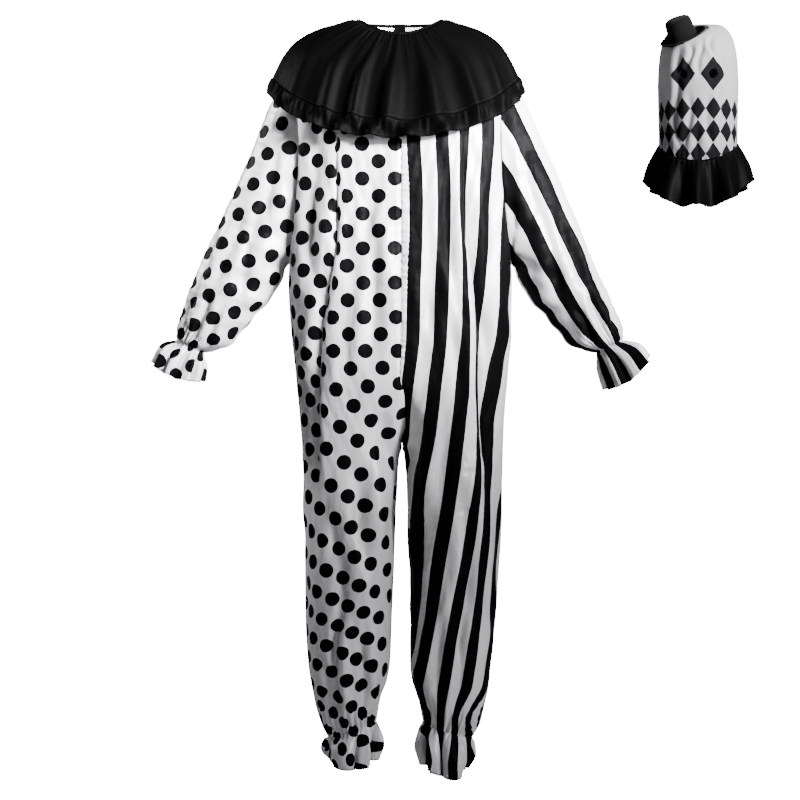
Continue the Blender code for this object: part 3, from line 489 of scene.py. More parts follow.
# Printed stripes in front, counted by their edges: black ones lie between edges 0 and 1, 2 and 3, and so on.
# first: where edge 0 would lie. width: how wide a stripe looks. lead: how far before the crease the cloth
# starts to turn under. hidden: how many stripes the crease swallows. beyond: how wide one looks past it.
STRIPE = 0.030
EDGE_COUNT = 11
Stripes = namedtuple("Stripes", "z first width lead hidden beyond")
STRIPES = [
    Stripes(-0.225, 0.0115, 0.0285, 0.034, 0.55, 0.0235),
    Stripes(-0.340, 0.0175, 0.0275, 0.024, 0.90, 0.0240),
    Stripes(-0.430, 0.0155, 0.0277, 0.018, 1.00, 0.0235),
    Stripes(-0.515, 0.0125, 0.0275, 0.026, 1.25, 0.0245),
    Stripes(-0.600, 0.0120, 0.0267, 0.026, 1.42, 0.0270),
    Stripes(-0.690, 0.0010, 0.0270, 0.016, 1.65, 0.0270),
    Stripes(-0.775, -0.0100, 0.0277, 0.010, 1.85, 0.0270),
    Stripes(-0.865, -0.0300, 0.0296, 0.012, 1.65, 0.0240),
    Stripes(-0.950, -0.0387, 0.0289, 0.012, 1.08, 0.0160),
    Stripes(-1.040, -0.0520, 0.0285, 0.012, 0.74, 0.0160),
    Stripes(-1.125, -0.0480, 0.0250, 0.000, 0.30, 0.0180),
    Stripes(-1.210, -0.0555, 0.0237, 0.000, 0.00, 0.0200),
    Stripes(-1.300, -0.0770, 0.0246, 0.000, 0.00, 0.0200),
    Stripes(-1.355, -0.0780, 0.0230, 0.000, 0.00, 0.0200),
]
CREASE_LIP = 0.002  # where the cloth beyond the crease comes out again
# The inseam takes in part of a white stripe: which edges it shifts (those before this one) and from where
Tuck = namedtuple("Tuck", "before z")
INSEAM_TUCKS = [Tuck(2, -0.776), Tuck(4, -0.951)]
TUCK_WIDTH, TUCK_OVER = 0.0145, 0.087  # how much of it, and the height that it takes to do so
# Printed dots in front: where column 0 would lie, and how far apart the columns look
DOT_COLUMN = 0.0319
DOT_RADIUS = 0.0146
COLUMN_COUNT = 7
DotColumns = namedtuple("DotColumns", "z first apart")
DOT_COLUMNS = [
    DotColumns(-0.225, 0.0095, 0.0322), DotColumns(-0.455, 0.0100, 0.0310),
    DotColumns(-0.575, 0.0070, 0.0313), DotColumns(-0.690, 0.0010, 0.0312),
    DotColumns(-0.805, -0.0115, 0.0315), DotColumns(-0.920, -0.0240, 0.0312),
    DotColumns(-1.040, -0.0340, 0.0305), DotColumns(-1.155, -0.0410, 0.0278),
    DotColumns(-1.270, -0.0510, 0.0260), DotColumns(-1.350, -0.0800, 0.0285),
]
# slant: how much lower a row of dots is at each next column. hidden: columns that the crease swallows.
# step: rows that the crease shifts the dots beyond it by.
Dots = namedtuple("Dots", "z slant hidden step")
DOTS = [
    Dots(-0.225, 0.0000, 0.0, 0.60),
    Dots(-0.330, 0.0000, 0.2, 0.55),
    Dots(-0.400, 0.0000, 0.7, 0.52),
    Dots(-0.475, 0.0000, 1.0, 0.42),
    Dots(-0.535, 0.0000, 1.5, 0.30),
    Dots(-0.633, 0.0000, 2.0, 0.20),
    Dots(-0.726, 0.0035, 2.9, 0.85),
    Dots(-0.821, 0.0070, 3.5, 1.35),
    Dots(-0.900, 0.0100, 4.0, 2.00),
    Dots(-1.019, 0.0126, 4.0, 2.00),
    Dots(-1.135, 0.0136, 4.0, 2.00),
    Dots(-1.400, 0.0136, 4.0, 2.00),
]
DOT_SLANT_BEYOND = 0.0102  # metres a column, beyond the crease
# The height that a row of dots has where column 0 would be
DotRow = namedtuple("DotRow", "z row")
DOT_ROWS = [
    DotRow(0.0354, -8), DotRow(-0.232, 0), DotRow(-0.633, 12), DotRow(-0.758, 16), DotRow(-0.874, 20),
    DotRow(-0.983, 24), DotRow(-1.063, 27), DotRow(-1.141, 30), DotRow(-1.195, 32), DotRow(-1.520, 44.5),
]


def stripe_edges():
    """Where each stripe's edge lies in front: evenly, but for what the crease and the inseam take in."""
    counts, heights, rows = np.arange(EDGE_COUNT), np.array([row.z for row in STRIPES]), []
    for row in STRIPES:
        crease = float(along(CREASES, "striped", row.z))
        turned = (crease - row.lead - row.first) / row.width
        out = turned + (row.lead + CREASE_LIP) / row.width + row.hidden
        last = crease + CREASE_LIP + (EDGE_COUNT - out) * row.beyond
        rows.append(np.interp(counts, [0, turned, out, EDGE_COUNT],
                              [row.first, crease - row.lead, crease + CREASE_LIP, last]))
    edges = np.array(rows)
    for tuck in INSEAM_TUCKS:
        edges[:, :tuck.before] += TUCK_WIDTH * below(heights, tuck.z, TUCK_OVER)[:, None]
    return -heights, edges


def dot_columns():
    """Where each column of dots lies in front: evenly at each height."""
    counts = np.arange(COLUMN_COUNT)
    return -np.array([row.z for row in DOT_COLUMNS]), np.array(
        [row.first + row.apart * counts for row in DOT_COLUMNS])


THREADS_APART = 0.0005


def thread_map(threads, pitch, base, arc, keep):
    """Pattern columns along a row, from where it meets each printed thread that keep() lets stand."""
    heights, table = threads
    places, counts = [], []
    targets = smooth(heights, table, -base[:, 2])
    reach = np.maximum.accumulate(base[:, 0])
    for count in range(table.shape[1]):
        target = targets[:, count]
        gap = reach - target
        if gap[0] > 0:
            place, x = -float(gap[0]), float(target[0])
        elif gap[-1] < 0:
            place, x = float(arc[-1] - gap[-1]), float(target[-1])
        else:
            gap = np.maximum.accumulate(gap)
            place, x = float(np.interp(0, gap, arc)), float(np.interp(0, gap, target))
        if keep(x) and (not places or place > places[-1] + THREADS_APART):
            places.append(place)
            counts.append(count)
    before = counts[0] - (places[0] + 1) / pitch
    beyond = counts[-1] + 1 / pitch
    return np.interp(arc, [-1, *places, places[-1] + 1], [before, *counts, beyond])


STRIPE_THREADS = stripe_edges()
DOT_THREADS = dot_columns()

CREASE_TUCK = 1.5  # how much closer together the dots stand at the crease
CREASE_TUCK_BEYOND = 0.4  # the share of it just beyond the crease
SPLIT_DEPTHS = (0.005, 0.009)  # how deep the crease is where it parts the stripes, and the dots, in full
ANKLE_MIDDLE = 0.095
ANKLE_GATHER = 0.65  # how much closer together the print stands at the ankle
ANKLE_SWAY = 0.55  # columns that the ruffle's folds carry the print aside by


def drawn_together(column, base):
    """The print's columns, closer together where the elastic gathers the ankle."""
    share = below(base[:, 2], -1.290, 0.080)
    still = np.interp(ANKLE_MIDDLE, np.maximum.accumulate(base[:, 0]), column)
    sway = ANKLE_SWAY * np.sin(1.7 * column + 0.6) * below(base[:, 2], -1.375, 0.075)
    return column + (column - still) * ANKLE_GATHER * share + sway


def striped_pattern(base, arc, crease_x):
    whole = thread_map(STRIPE_THREADS, STRIPE, base, arc, lambda x: True)
    middle = thread_map(STRIPE_THREADS, STRIPE, base, arc, lambda x: x < crease_x)
    beyond = thread_map(STRIPE_THREADS, STRIPE, base, arc, lambda x: x >= crease_x)
    split = float(np.clip(along(CREASES, "depth", base[0, 2]) / SPLIT_DEPTHS[0], 0, 1))
    height = -base[:, 2] / STRIPE
    return [np.stack([drawn_together(whole + (part - whole) * split, base), height], axis=1)
            for part in (middle, beyond)]


def dotted_pattern(base, arc, crease_x):
    z = base[:, 2]
    column = thread_map(DOT_THREADS, DOT_COLUMN, base, arc, lambda x: True)
    crease = float(np.interp(crease_x, np.maximum.accumulate(base[:, 0]), arc))
    at_crease = float(np.interp(crease, arc, column))
    slant, hidden = along(DOTS, "slant", z), along(DOTS, "hidden", z)
    rows = along(DOT_ROWS, "row", z + slant * column)
    tucked = CREASE_TUCK * CREASE_ROLL / DOT_COLUMN * above(base[0, 2], -0.85, 0.10)
    tucked *= np.clip(along(CREASES, "depth", base[0, 2]) / SPLIT_DEPTHS[1], 0, 1)
    near = np.clip(1 - np.abs(arc - crease) / CREASE_ROLL, 0, 1) ** 2 * tucked
    middle = np.stack([drawn_together(column + near, base), rows], axis=1)
    outer = at_crease + (arc - crease) / DOT_COLUMN - CREASE_TUCK_BEYOND * near
    drop = np.maximum(slant, DOT_SLANT_BEYOND) * (outer - at_crease)
    rows = along(DOT_ROWS, "row", z + slant * at_crease + drop) + along(DOTS, "step", z)
    return middle, np.stack([drawn_together(outer + hidden, base), rows], axis=1)


# Soft folds: from one end to the other, how deep and how wide
Fold = namedtuple("Fold", "x0 z0 x1 z1 depth width")
FRONT_FOLDS = {
    "dotted": [
        Fold(0.158, -0.12, 0.176, -0.48, 0.0110, 0.018),
        Fold(0.055, -0.24, 0.064, -0.66, 0.0068, 0.017),
        Fold(0.094, -0.30, 0.110, -0.74, 0.0059, 0.014),
        Fold(0.186, -0.26, 0.168, -0.56, 0.0085, 0.013),
        Fold(0.100, -0.80, 0.060, -1.10, 0.0100, 0.018),
        Fold(0.150, -0.88, 0.105, -1.22, 0.0110, 0.016),
        Fold(0.045, -0.74, 0.012, -0.88, 0.0085, 0.014),
        Fold(0.068, -1.16, 0.074, -1.37, 0.0100, 0.009),
        Fold(0.124, -1.12, 0.126, -1.38, 0.0150, 0.009),
        Fold(0.150, -1.22, 0.130, -1.37, 0.0100, 0.009),
    ],
    "striped": [
        Fold(0.052, -0.24, 0.056, -0.70, 0.0059, 0.016),
        Fold(0.090, -0.24, 0.104, -0.60, 0.0068, 0.014),
        Fold(0.184, -0.28, 0.180, -0.52, 0.0076, 0.013),
        Fold(0.100, -0.72, 0.060, -1.00, 0.0068, 0.018),
        Fold(0.150, -0.98, 0.110, -1.28, 0.0085, 0.016),
        Fold(0.045, -0.75, 0.014, -0.88, 0.0085, 0.014),
        Fold(0.075, -1.14, 0.080, -1.35, 0.0085, 0.012),
        Fold(0.118, -1.16, 0.112, -1.37, 0.0093, 0.010),
        Fold(0.140, -0.860, 0.128, -0.875, 0.0051, 0.006),
        Fold(0.134, -0.935, 0.122, -0.950, 0.0051, 0.006),
    ],
}
BACK_FOLDS = {
    "dotted": [
        Fold(0.040, -0.20, 0.050, -0.62, 0.0076, 0.018),
        Fold(0.085, -0.26, 0.096, -0.70, 0.0068, 0.015),
        Fold(0.060, -0.74, 0.020, -0.90, 0.0102, 0.016),
        Fold(0.110, -0.82, 0.070, -1.14, 0.0085, 0.018),
        Fold(0.150, -0.90, 0.120, -1.26, 0.0085, 0.015),
        Fold(0.095, -1.14, 0.100, -1.36, 0.0093, 0.011),
    ],
    "striped": [
        Fold(0.048, -0.22, 0.056, -0.66, 0.0076, 0.018),
        Fold(0.092, -0.24, 0.090, -0.58, 0.0068, 0.015),
        Fold(0.052, -0.75, 0.018, -0.90, 0.0102, 0.016),
        Fold(0.104, -0.78, 0.066, -1.10, 0.0085, 0.017),
        Fold(0.148, -0.96, 0.112, -1.30, 0.0085, 0.015),
        Fold(0.088, -1.16, 0.096, -1.37, 0.0093, 0.011),
    ],
}
SEAM_PUCKER = 0.0014  # how deep the closure's stitching draws the cloth beside it
VALLEY = 0.008  # how far the front falls back along its middle seam, above the crotch
BACK_CREASE = 0.8  # how deep the crease is behind, beside the front's
RUMPLES_FROM = -0.10  # below the collar's seat
ANKLE_PLEATS = 34
ANKLE_PLEAT = 0.0030  # how deep they are
ANKLE_WAVES = 7  # the widest of the ruffle's waves, all round the leg
ANKLE_LEAN = 0.45  # how far they lean over, as a share of their height


def folded(points, folds):
    """How far each point sinks into the soft folds listed."""
    sink = np.zeros(points.shape[:2])
    place = points[..., [0, 2]]
    for fold in folds:
        start, end = np.array([fold.x0, fold.z0]), np.array([fold.x1, fold.z1])
        length = np.linalg.norm(end - start)
        way = (end - start) / length
        reach = ((place - start) @ way) / length
        aside = (place - start) @ np.array([way[1], -way[0]])
        bend = 0.004 * np.sin(reach * 7 + fold.x0 * 90)
        taper = eased(1.6 * np.clip(1 - np.abs(2 * reach - 1), 0, 1))
        trough = np.exp(-((aside + bend) / fold.width) ** 2)
        ridge = np.exp(-((aside + bend - 1.9 * fold.width) / (1.2 * fold.width)) ** 2)
        sink += fold.depth * taper * (trough - 0.55 * ridge)
    return sink


# Ripples: width, slope, depth and phase
Rumple = namedtuple("Rumple", "width slope depth phase")
RUMPLES = [
    Rumple(0.083, 0.06, 0.0030, 4.0), Rumple(0.055, -0.10, 0.0024, 0.3),
    Rumple(0.034, 0.16, 0.0013, 1.7), Rumple(0.021, -0.30, 0.0006, 2.2),
]


def rumpled(points):
    """Shallow uneven ripples that run down the cloth."""
    x, z = points[..., 0], points[..., 2]
    height = np.zeros(x.shape)
    for row in RUMPLES:
        sway = 1.3 * np.sin(2 * math.pi * z / 0.31 + 3 * row.phase)
        patch = 0.55 + 0.45 * np.sin(2 * math.pi * z / 0.47 + 5 * row.phase + 9 * x)
        phase = 2 * math.pi * (x + row.slope * z) / row.width + row.phase
        height += row.depth * patch * np.sin(phase + sway)
    return height


def long_crease(points, back):
    """How far the cloth rolls under before the crease, and lies lower beyond it."""
    depth = along(CREASES, "depth", points[:, CREASE_COLUMN, 2])[:, None] * (BACK_CREASE if back else 1)
    offset = np.linalg.norm(points - points[:, CREASE_COLUMN: CREASE_COLUMN + 1], axis=-1)
    offset *= np.sign(np.arange(points.shape[1]) - CREASE_COLUMN)
    rolled = np.clip(1 + offset / CREASE_ROLL, 0, 1)
    before = 1 - np.sqrt(1 - np.minimum(rolled, 0.998) ** 2)
    beyond = 0.55 * np.exp(-np.maximum(offset, 0) / 0.010) + 0.38 * np.exp(-(offset / 0.040) ** 2)
    return depth * np.where(offset < 0, before, beyond)


def drawn_seam(z, from_middle):
    """The front's valley above the crotch, and the puckers beside the closure's stitching."""
    valley = below(z, -0.685, 0.05) * above(z, CROTCH_POINT, 0.03)
    puckered = below(z, -0.13, 0.05) * above(z, -0.70, 0.06) * np.exp(-from_middle / 0.022)
    ripple = np.sin(2 * math.pi * z / 0.026 + 2.2 * np.sin(z * 47) + from_middle * 90)
    return VALLEY * valley * np.exp(-(from_middle / 0.015) ** 2) + SEAM_PUCKER * puckered * ripple


def ankle_gathers(points, half, back):
    """The elastic's fine pleats with the ruffle's waves below it, and how far these lean sideways."""
    last = len(points) - 1 - RUFFLE_ROWS
    row = np.arange(len(points))[:, None]
    turn = np.linspace(0, 0.5, points.shape[1])
    turn = 1 - turn if back else turn
    near = eased(1 - (last - row) / 15.0) * (row <= last) + (row > last) * np.exp(-(row - last) / 3.0)
    phase = 2 * math.pi * ANKLE_PLEATS * turn + 1.1 * wave(3, turn, 0.4)
    pleats = np.cos(phase) * (1 + 0.35 * wave(5, turn, 1.0)) * ANKLE_PLEAT * near
    table = ANKLE_RUFFLES[half]
    steps = np.linspace(0, len(table) - 1, RUFFLE_ROWS + 1)
    height = np.zeros((len(points), 1))
    height[last:, 0] = smooth(np.arange(len(table)), [item.wave for item in table], steps)
    wave_turn = 0.5 - turn
    swirl = wave_turn + 0.05 * wave(2, wave_turn, 1.0) + 0.012 * (row - last) / RUFFLE_ROWS
    waves = wave(ANKLE_WAVES, swirl) + 0.55 * wave(11, swirl, 0.8) + 0.30 * wave(19, swirl, 2.1)
    lean = ANKLE_LEAN * height * np.cos(2 * math.pi * 11 * swirl + 0.8) * (-1 if back else 1)
    return pleats, waves * height, lean


def draped(panel, normals, half, back):
    """A panel's points with its long crease, its soft folds and the ankle's gathers pressed in."""
    points = panel.points
    z = points[..., 2]
    from_side = np.linalg.norm(points - points[:, -1:], axis=-1)
    from_middle = np.linalg.norm(points - points[:, :1], axis=-1)
    calm = eased(from_side / 0.030) * eased(from_middle / 0.018)
    rumples = rumpled(points * (-1 if half == "dotted" else 1)) * below(z, RUMPLES_FROM, 0.08)
    folds = (BACK_FOLDS if back else FRONT_FOLDS)[half]
    sink = long_crease(points, back) + (folded(points, folds) + rumples) * calm
    if not back:
        sink += drawn_seam(z, from_middle)
    pleats, waves, lean = ankle_gathers(points, half, back)
    sideways = unit(np.gradient(points, axis=1)) * (lean * calm)[..., None]
    return points + normals * (pleats + waves - sink)[..., None] + sideways


GATHERED_FROM = 0.0285  # metres a step: where the print is closer than this, the cloth is gathered
MOST_STEP, MOST_SKEW = 0.06, 0.04  # metres, so that no dot is drawn out where the cloth turns sharply
MERGED = 0.00012  # points nearer than this are sewn into one


def print_size(points, pattern):
    """How far one step of the pattern's columns and rows goes: across, skewed across, and down."""
    over, along_rows = np.gradient(points, axis=1), np.gradient(points, axis=0)
    over_uv, down_uv = np.gradient(pattern, axis=1), np.gradient(pattern, axis=0)
    area = over_uv[..., 0] * down_uv[..., 1] - down_uv[..., 0] * over_uv[..., 1]
    area = np.where(np.abs(area) < 1e-6, 1e-6, area)[..., None]
    column = (over * down_uv[..., 1:] - along_rows * over_uv[..., 1:]) / area
    row = (along_rows * over_uv[..., :1] - over * down_uv[..., :1]) / area
    across = np.maximum(np.linalg.norm(column, axis=-1), 1e-6)
    skew = (column * row).sum(axis=-1) / across
    down = np.sqrt(np.maximum((row * row).sum(axis=-1) - skew ** 2, 1e-9))
    across, down = np.clip(across, GATHERED_FROM, MOST_STEP), np.clip(down, GATHERED_FROM, MOST_STEP)
    skew = np.clip(skew, -MOST_SKEW, MOST_SKEW)
    return np.stack([across, skew], axis=-1), np.stack([down, down], axis=-1)


def cloth_mesh(name, grids):
    """A mesh of grids of points, each with its print before and beyond its crease, and its flat shape."""
    points, faces, uvs, start = [], [], [], 0
    for grid, uv_middle, uv_side, crease, flat in grids:
        rows, columns = grid.shape[:2]
        index = start + np.arange(rows * columns).reshape(rows, columns)
        normals = outward(grid)
        corners = [index[:-1, :-1], index[:-1, 1:], index[1:, 1:], index[1:, :-1]]
        turned_in = (np.cross(grid[:-1, 1:] - grid[:-1, :-1], grid[1:, :-1] - grid[:-1, :-1])
                     * normals[:-1, :-1]).sum() < 0
        before = (np.arange(columns - 1) < crease)[None, :, None]
        quads = np.stack(corners, axis=-1)
        middle = np.concatenate([uv_middle, *print_size(flat, uv_middle)], axis=-1)
        beyond = np.concatenate([uv_side, *print_size(flat, uv_side)], axis=-1)
        first, second = slice(None, -1), slice(1, None)
        round_quad = ((first, first), (first, second), (second, second), (second, first))
        uv = np.stack([np.where(before, middle[at], beyond[at]) for at in round_quad], axis=2)
        if turned_in:
            quads, uv = quads[..., ::-1], uv[:, :, ::-1]
        points.append(grid.reshape(-1, 3))
        faces.append(quads.reshape(-1, 4))
        uvs.append(uv.reshape(-1, 6))
        start += rows * columns
    mesh = bpy.data.meshes.new(name)
    mesh.from_pydata(np.concatenate(points).tolist(), [], np.concatenate(faces).tolist())
    uvs = np.concatenate(uvs).astype(np.float32)
    for first, label in ((0, "pattern"), (2, "print_across"), (4, "print_down")):
        layer = mesh.uv_layers.new(name=label)
        layer.data.foreach_set("uv", uvs[:, first: first + 2].ravel())
    shell = bmesh.new()
    shell.from_mesh(mesh)
    bmesh.ops.remove_doubles(shell, verts=shell.verts, dist=MERGED)
    shell.to_mesh(mesh)
    shell.free()
    mesh.shade_smooth()
    return mesh


def sewn_piece(mesh, material, slot, stands_for, flat, held="hung", area=None, wall=0.0008):
    """A piece of cloth with a thin wall, on the costume's one body, in place of its plain solids."""
    piece = bpy.data.objects.new(mesh.name, mesh)
    bpy.context.scene.collection.objects.link(piece)
    mesh.materials.append(material)
    if wall:
        thickness = piece.modifiers.new("wall", "SOLIDIFY")
        thickness.thickness = wall
        thickness.offset = -1
    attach(piece, "root")
    if stands_for:
        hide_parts(*stands_for)
    return piece


WHITE_PRINT = (0.40, 0.403, 0.415)
BLACK_PRINT = (0.0014, 0.0014, 0.0015)
BLACK_CLOTH = (0.0004, 0.0004, 0.0004)
WHITE_SHINE, BLACK_SHINE = 1.0, 0.008
WEAVE_SHARE = 0.05  # how high the weave stands beside the crumpling
SATIN_RELIEF = 0.004


def math_node(tree, operation, *values):
    """What a math node makes of values or links."""
    return add_node(tree, "ShaderNodeMath", dict(enumerate(values)), operation=operation).outputs["Value"]


# Satin: fine weave lines and faint crumpling as one shared height
satin_group = bpy.data.node_groups.new("satin_surface", "ShaderNodeTree")
for label, value in (("Weave Scale", 1500.0), ("Crumple Scale", 38.0)):
    socket = satin_group.interface.new_socket(label, in_out="INPUT", socket_type="NodeSocketFloat")
    socket.default_value = value
for label in ("Height", "Tone"):
    satin_group.interface.new_socket(label, in_out="OUTPUT", socket_type="NodeSocketFloat")
scales = add_node(satin_group, "NodeGroupInput").outputs
at = add_node(satin_group, "ShaderNodeTexCoord").outputs["Object"]
weave = add_node(satin_group, "ShaderNodeTexNoise", {"Vector": at, "Scale": scales["Weave Scale"]})
drawn = add_node(satin_group, "ShaderNodeMapping", {"Vector": at, "Scale": (1.0, 1.0, 0.45)})
crumple = add_node(satin_group, "ShaderNodeTexNoise", {
    "Vector": drawn.outputs["Vector"], "Scale": scales["Crumple Scale"], "Detail": 4, "Distortion": 0.6})
weave_part = math_node(satin_group, "MULTIPLY", weave.outputs["Fac"], WEAVE_SHARE)
add_node(satin_group, "NodeGroupOutput", {
    "Height": math_node(satin_group, "ADD", weave_part, crumple.outputs["Fac"]),
    "Tone": crumple.outputs["Fac"]})


def satin(name, colour=None, bump=0.55, rough=(0.34, 0.46), shine=WHITE_SHINE):
    """A satin material, in one colour or still to be printed."""
    material, tree, shader = new_material(name)
    surface = add_node(tree, "ShaderNodeGroup", node_tree=satin_group)
    relief = add_node(tree, "ShaderNodeBump", {
        "Strength": bump, "Distance": SATIN_RELIEF, "Height": surface.outputs["Height"]})
    gloss = add_node(tree, "ShaderNodeMapRange", {
        "To Min": rough[0], "To Max": rough[1], "Value": surface.outputs["Tone"]})
    set_inputs(tree, shader, {"Normal": relief.outputs["Normal"], "Roughness": gloss.outputs["Result"],
                              "Specular IOR Level": shine})
    if colour:
        set_inputs(tree, shader, {"Base Color": (*colour, 1)})
    return material, tree, shader


def print_colour(tree, shader, mask, white=WHITE_PRINT, white_shine=WHITE_SHINE):
    """Black print where the mask is 1, white cloth where it is 0."""
    colour = add_node(tree, "ShaderNodeMix", {"A": (*white, 1), "B": (*BLACK_PRINT, 1), "Factor": mask},
                      data_type="RGBA")
    shine = add_node(tree, "ShaderNodeMapRange", {
        "To Min": white_shine, "To Max": BLACK_SHINE, "Value": mask})
    set_inputs(tree, shader, {"Base Color": colour.outputs["Result"],
                              "Specular IOR Level": shine.outputs["Result"]})


def pattern_place(tree, label="pattern"):
    place = add_node(tree, "ShaderNodeUVMap", uv_map=label)
    split = add_node(tree, "ShaderNodeSeparateXYZ", {"Vector": place.outputs["UV"]})
    return split.outputs["X"], split.outputs["Y"]


def from_whole(tree, value):
    """How far a value is from the nearest whole number."""
    return math_node(tree, "SUBTRACT", value, math_node(tree, "ROUND", value))


PRINT_BUMP = 0.8
dotted_satin, tree, shader = satin("dotted_satin", bump=PRINT_BUMP)
column, row = pattern_place(tree)
off_sum = from_whole(tree, math_node(tree, "MULTIPLY", math_node(tree, "ADD", column, row), 0.5))
off_gap = from_whole(tree, math_node(tree, "MULTIPLY", math_node(tree, "SUBTRACT", column, row), 0.5))
off_column = math_node(tree, "ADD", off_sum, off_gap)
off_row = math_node(tree, "SUBTRACT", off_sum, off_gap)
step_across, skew = pattern_place(tree, "print_across")
step_down = pattern_place(tree, "print_down")[0]
across = math_node(tree, "ADD", math_node(tree, "MULTIPLY", step_across, off_column),
                   math_node(tree, "MULTIPLY", skew, off_row))
down = math_node(tree, "MULTIPLY", step_down, off_row)
distance = math_node(tree, "SQRT", math_node(tree, "ADD", math_node(tree, "MULTIPLY", across, across),
                                             math_node(tree, "MULTIPLY", down, down)))
print_colour(tree, shader, math_node(tree, "LESS_THAN", distance, DOT_RADIUS))

striped_satin, tree, shader = satin("striped_satin", bump=PRINT_BUMP)
column, row = pattern_place(tree)
pair = math_node(tree, "FRACT", math_node(tree, "MULTIPLY", column, 0.5))
print_colour(tree, shader, math_node(tree, "LESS_THAN", pair, 0.5))

BODY_CUT = (0.52, 1.60)  # front and back of one half, with the leg and its ruffle
body_fronts, ankle_lines = {}, []
for half, side, material, pattern in (("dotted", -1, dotted_satin, dotted_pattern),
                                      ("striped", 1, striped_satin, striped_pattern)):
    panels = [panel_grid(half, side, back, pattern) for back in (False, True)]
    normals = [outward(panel.points) for panel in panels]
    centre_rows = YOKE_ROWS + ARMHOLE_ROWS + TORSO_ROWS + CROTCH_ROWS
    sewn = np.ones(len(normals[0]), bool)
    sewn[YOKE_ROWS + 1: YOKE_ROWS + ARMHOLE_ROWS] = False
    shared = unit(normals[0][sewn, -1] + normals[1][sewn, -1])
    normals[0][sewn, -1] = normals[1][sewn, -1] = shared
    shared = unit(normals[0][centre_rows:, 0] + normals[1][centre_rows:, 0])
    normals[0][centre_rows:, 0] = normals[1][centre_rows:, 0] = shared
    grids = []
    for panel, directions, back in zip(panels, normals, (False, True)):
        directions[:centre_rows, 0] = unit(directions[:centre_rows, 0] * np.array([0, 1, 1]))
        cloth = draped(panel, directions, half, back) * np.array([side, 1, 1])
        grids.append((cloth, panel.uv_middle, panel.uv_side, CREASE_COLUMN, panel.points))
    body_fronts[half] = grids[0][0]
    ankle_lines += [(cloth[-1], outward(cloth)[-1]) for cloth, *_ in grids]
    mesh = cloth_mesh(half + "_body", grids)
    names = ["front_" + half, "back_" + half, "ankle_ruffle_" + half]
    sewn_piece(mesh, material, half + "_satin", names, BODY_CUT)

# ---- Strip over the front closure ---------------------------------------------------------------------
# A narrow plain white band, topstitched down the middle seam on the striped side. Its stitching draws the
# satin into small puckers, and it runs out to nothing at the belly.

Strip = namedtuple("Strip", "z width")
STRIP = [
    Strip(-0.100, 0.0095), Strip(-0.225, 0.0095), Strip(-0.310, 0.0138), Strip(-0.400, 0.0145),
    Strip(-0.490, 0.0108), Strip(-0.600, 0.0082), Strip(-0.660, 0.0055), Strip(-0.698, 0.0015),
]
STRIP_ROWS = 260
STRIP_COLUMNS = 9
STRIP_RISE = 0.0016  # above the satin
PUCKER = 0.0026
NEAR_COLUMNS = 16  # the front's columns that the strip lies over


def thread_line(points, normals, rise):
    """Where a line of stitches runs: along a row or column of points, just above the cloth."""
    return points + unit(normals) * rise


def plain_cloth(name, grid):
    """A mesh of one grid of points with no print."""
    blank = np.zeros((*grid.shape[:2], 2))
    return cloth_mesh(name, [(grid, blank, blank, 0, grid)])


front = body_fronts["striped"]
near = (front[:, 0, 2] < STRIP[0].z + 0.02) & (front[:, 0, 2] > STRIP[-1].z - 0.02)
near = front[near][:, :NEAR_COLUMNS]
levels = np.linspace(STRIP[0].z, STRIP[-1].z, STRIP_ROWS)
near = smooth(-near[:, 0, 2], near, -levels)
from_seam = np.linalg.norm(near - near[:, :1], axis=-1)
widths = along(STRIP, "width", levels)
strip = np.array([[np.interp(np.linspace(0, width, STRIP_COLUMNS), reach, row[:, axis])
                   for axis in range(3)]
                  for row, reach, width in zip(near, from_seam, widths)]).transpose(0, 2, 1)
edge_on = np.abs(np.linspace(-1, 1, STRIP_COLUMNS))
ripple = np.sin(levels * 2 * math.pi / 0.0125 + 2.0 * np.sin(levels * 61))
ripple *= 0.6 + 0.4 * np.sin(levels * 37)
crown = 1 - 0.75 * edge_on ** 6
strip[..., 1] -= STRIP_RISE * crown + PUCKER * ripple[:, None] * (0.35 + 0.65 * edge_on)
plain_satin = satin("plain_white_satin", WHITE_PRINT)[0]
sewn_piece(plain_cloth("closure_strip", strip), plain_satin, "dotted_satin", ["front_placket"],
           (0.0120, 0.60), area=0.0062, wall=0.0006)

SEAM_RISE, HEM_RISE = 0.0004, 0.0002  # how high the thread lies above the cloth
stitch_lines = {"white": [], "black": [], "hem": []}
for line, line_normals in ankle_lines:
    stitch_lines["hem"].append(thread_line(line, line_normals, HEM_RISE))
forward = np.broadcast_to([0.0, -1.0, 0.0], (STRIP_ROWS, 3))
for column in (1, -2):
    stitch_lines["white"].append(thread_line(strip[:, column], forward, SEAM_RISE))

# ---- Sleeves ------------------------------------------------------------------------------------------
# One tube of printed satin each, set into the upright armhole, drawn together by an elastic at the wrist
# and let out again below it as a short ruffle with an overlocked hem.

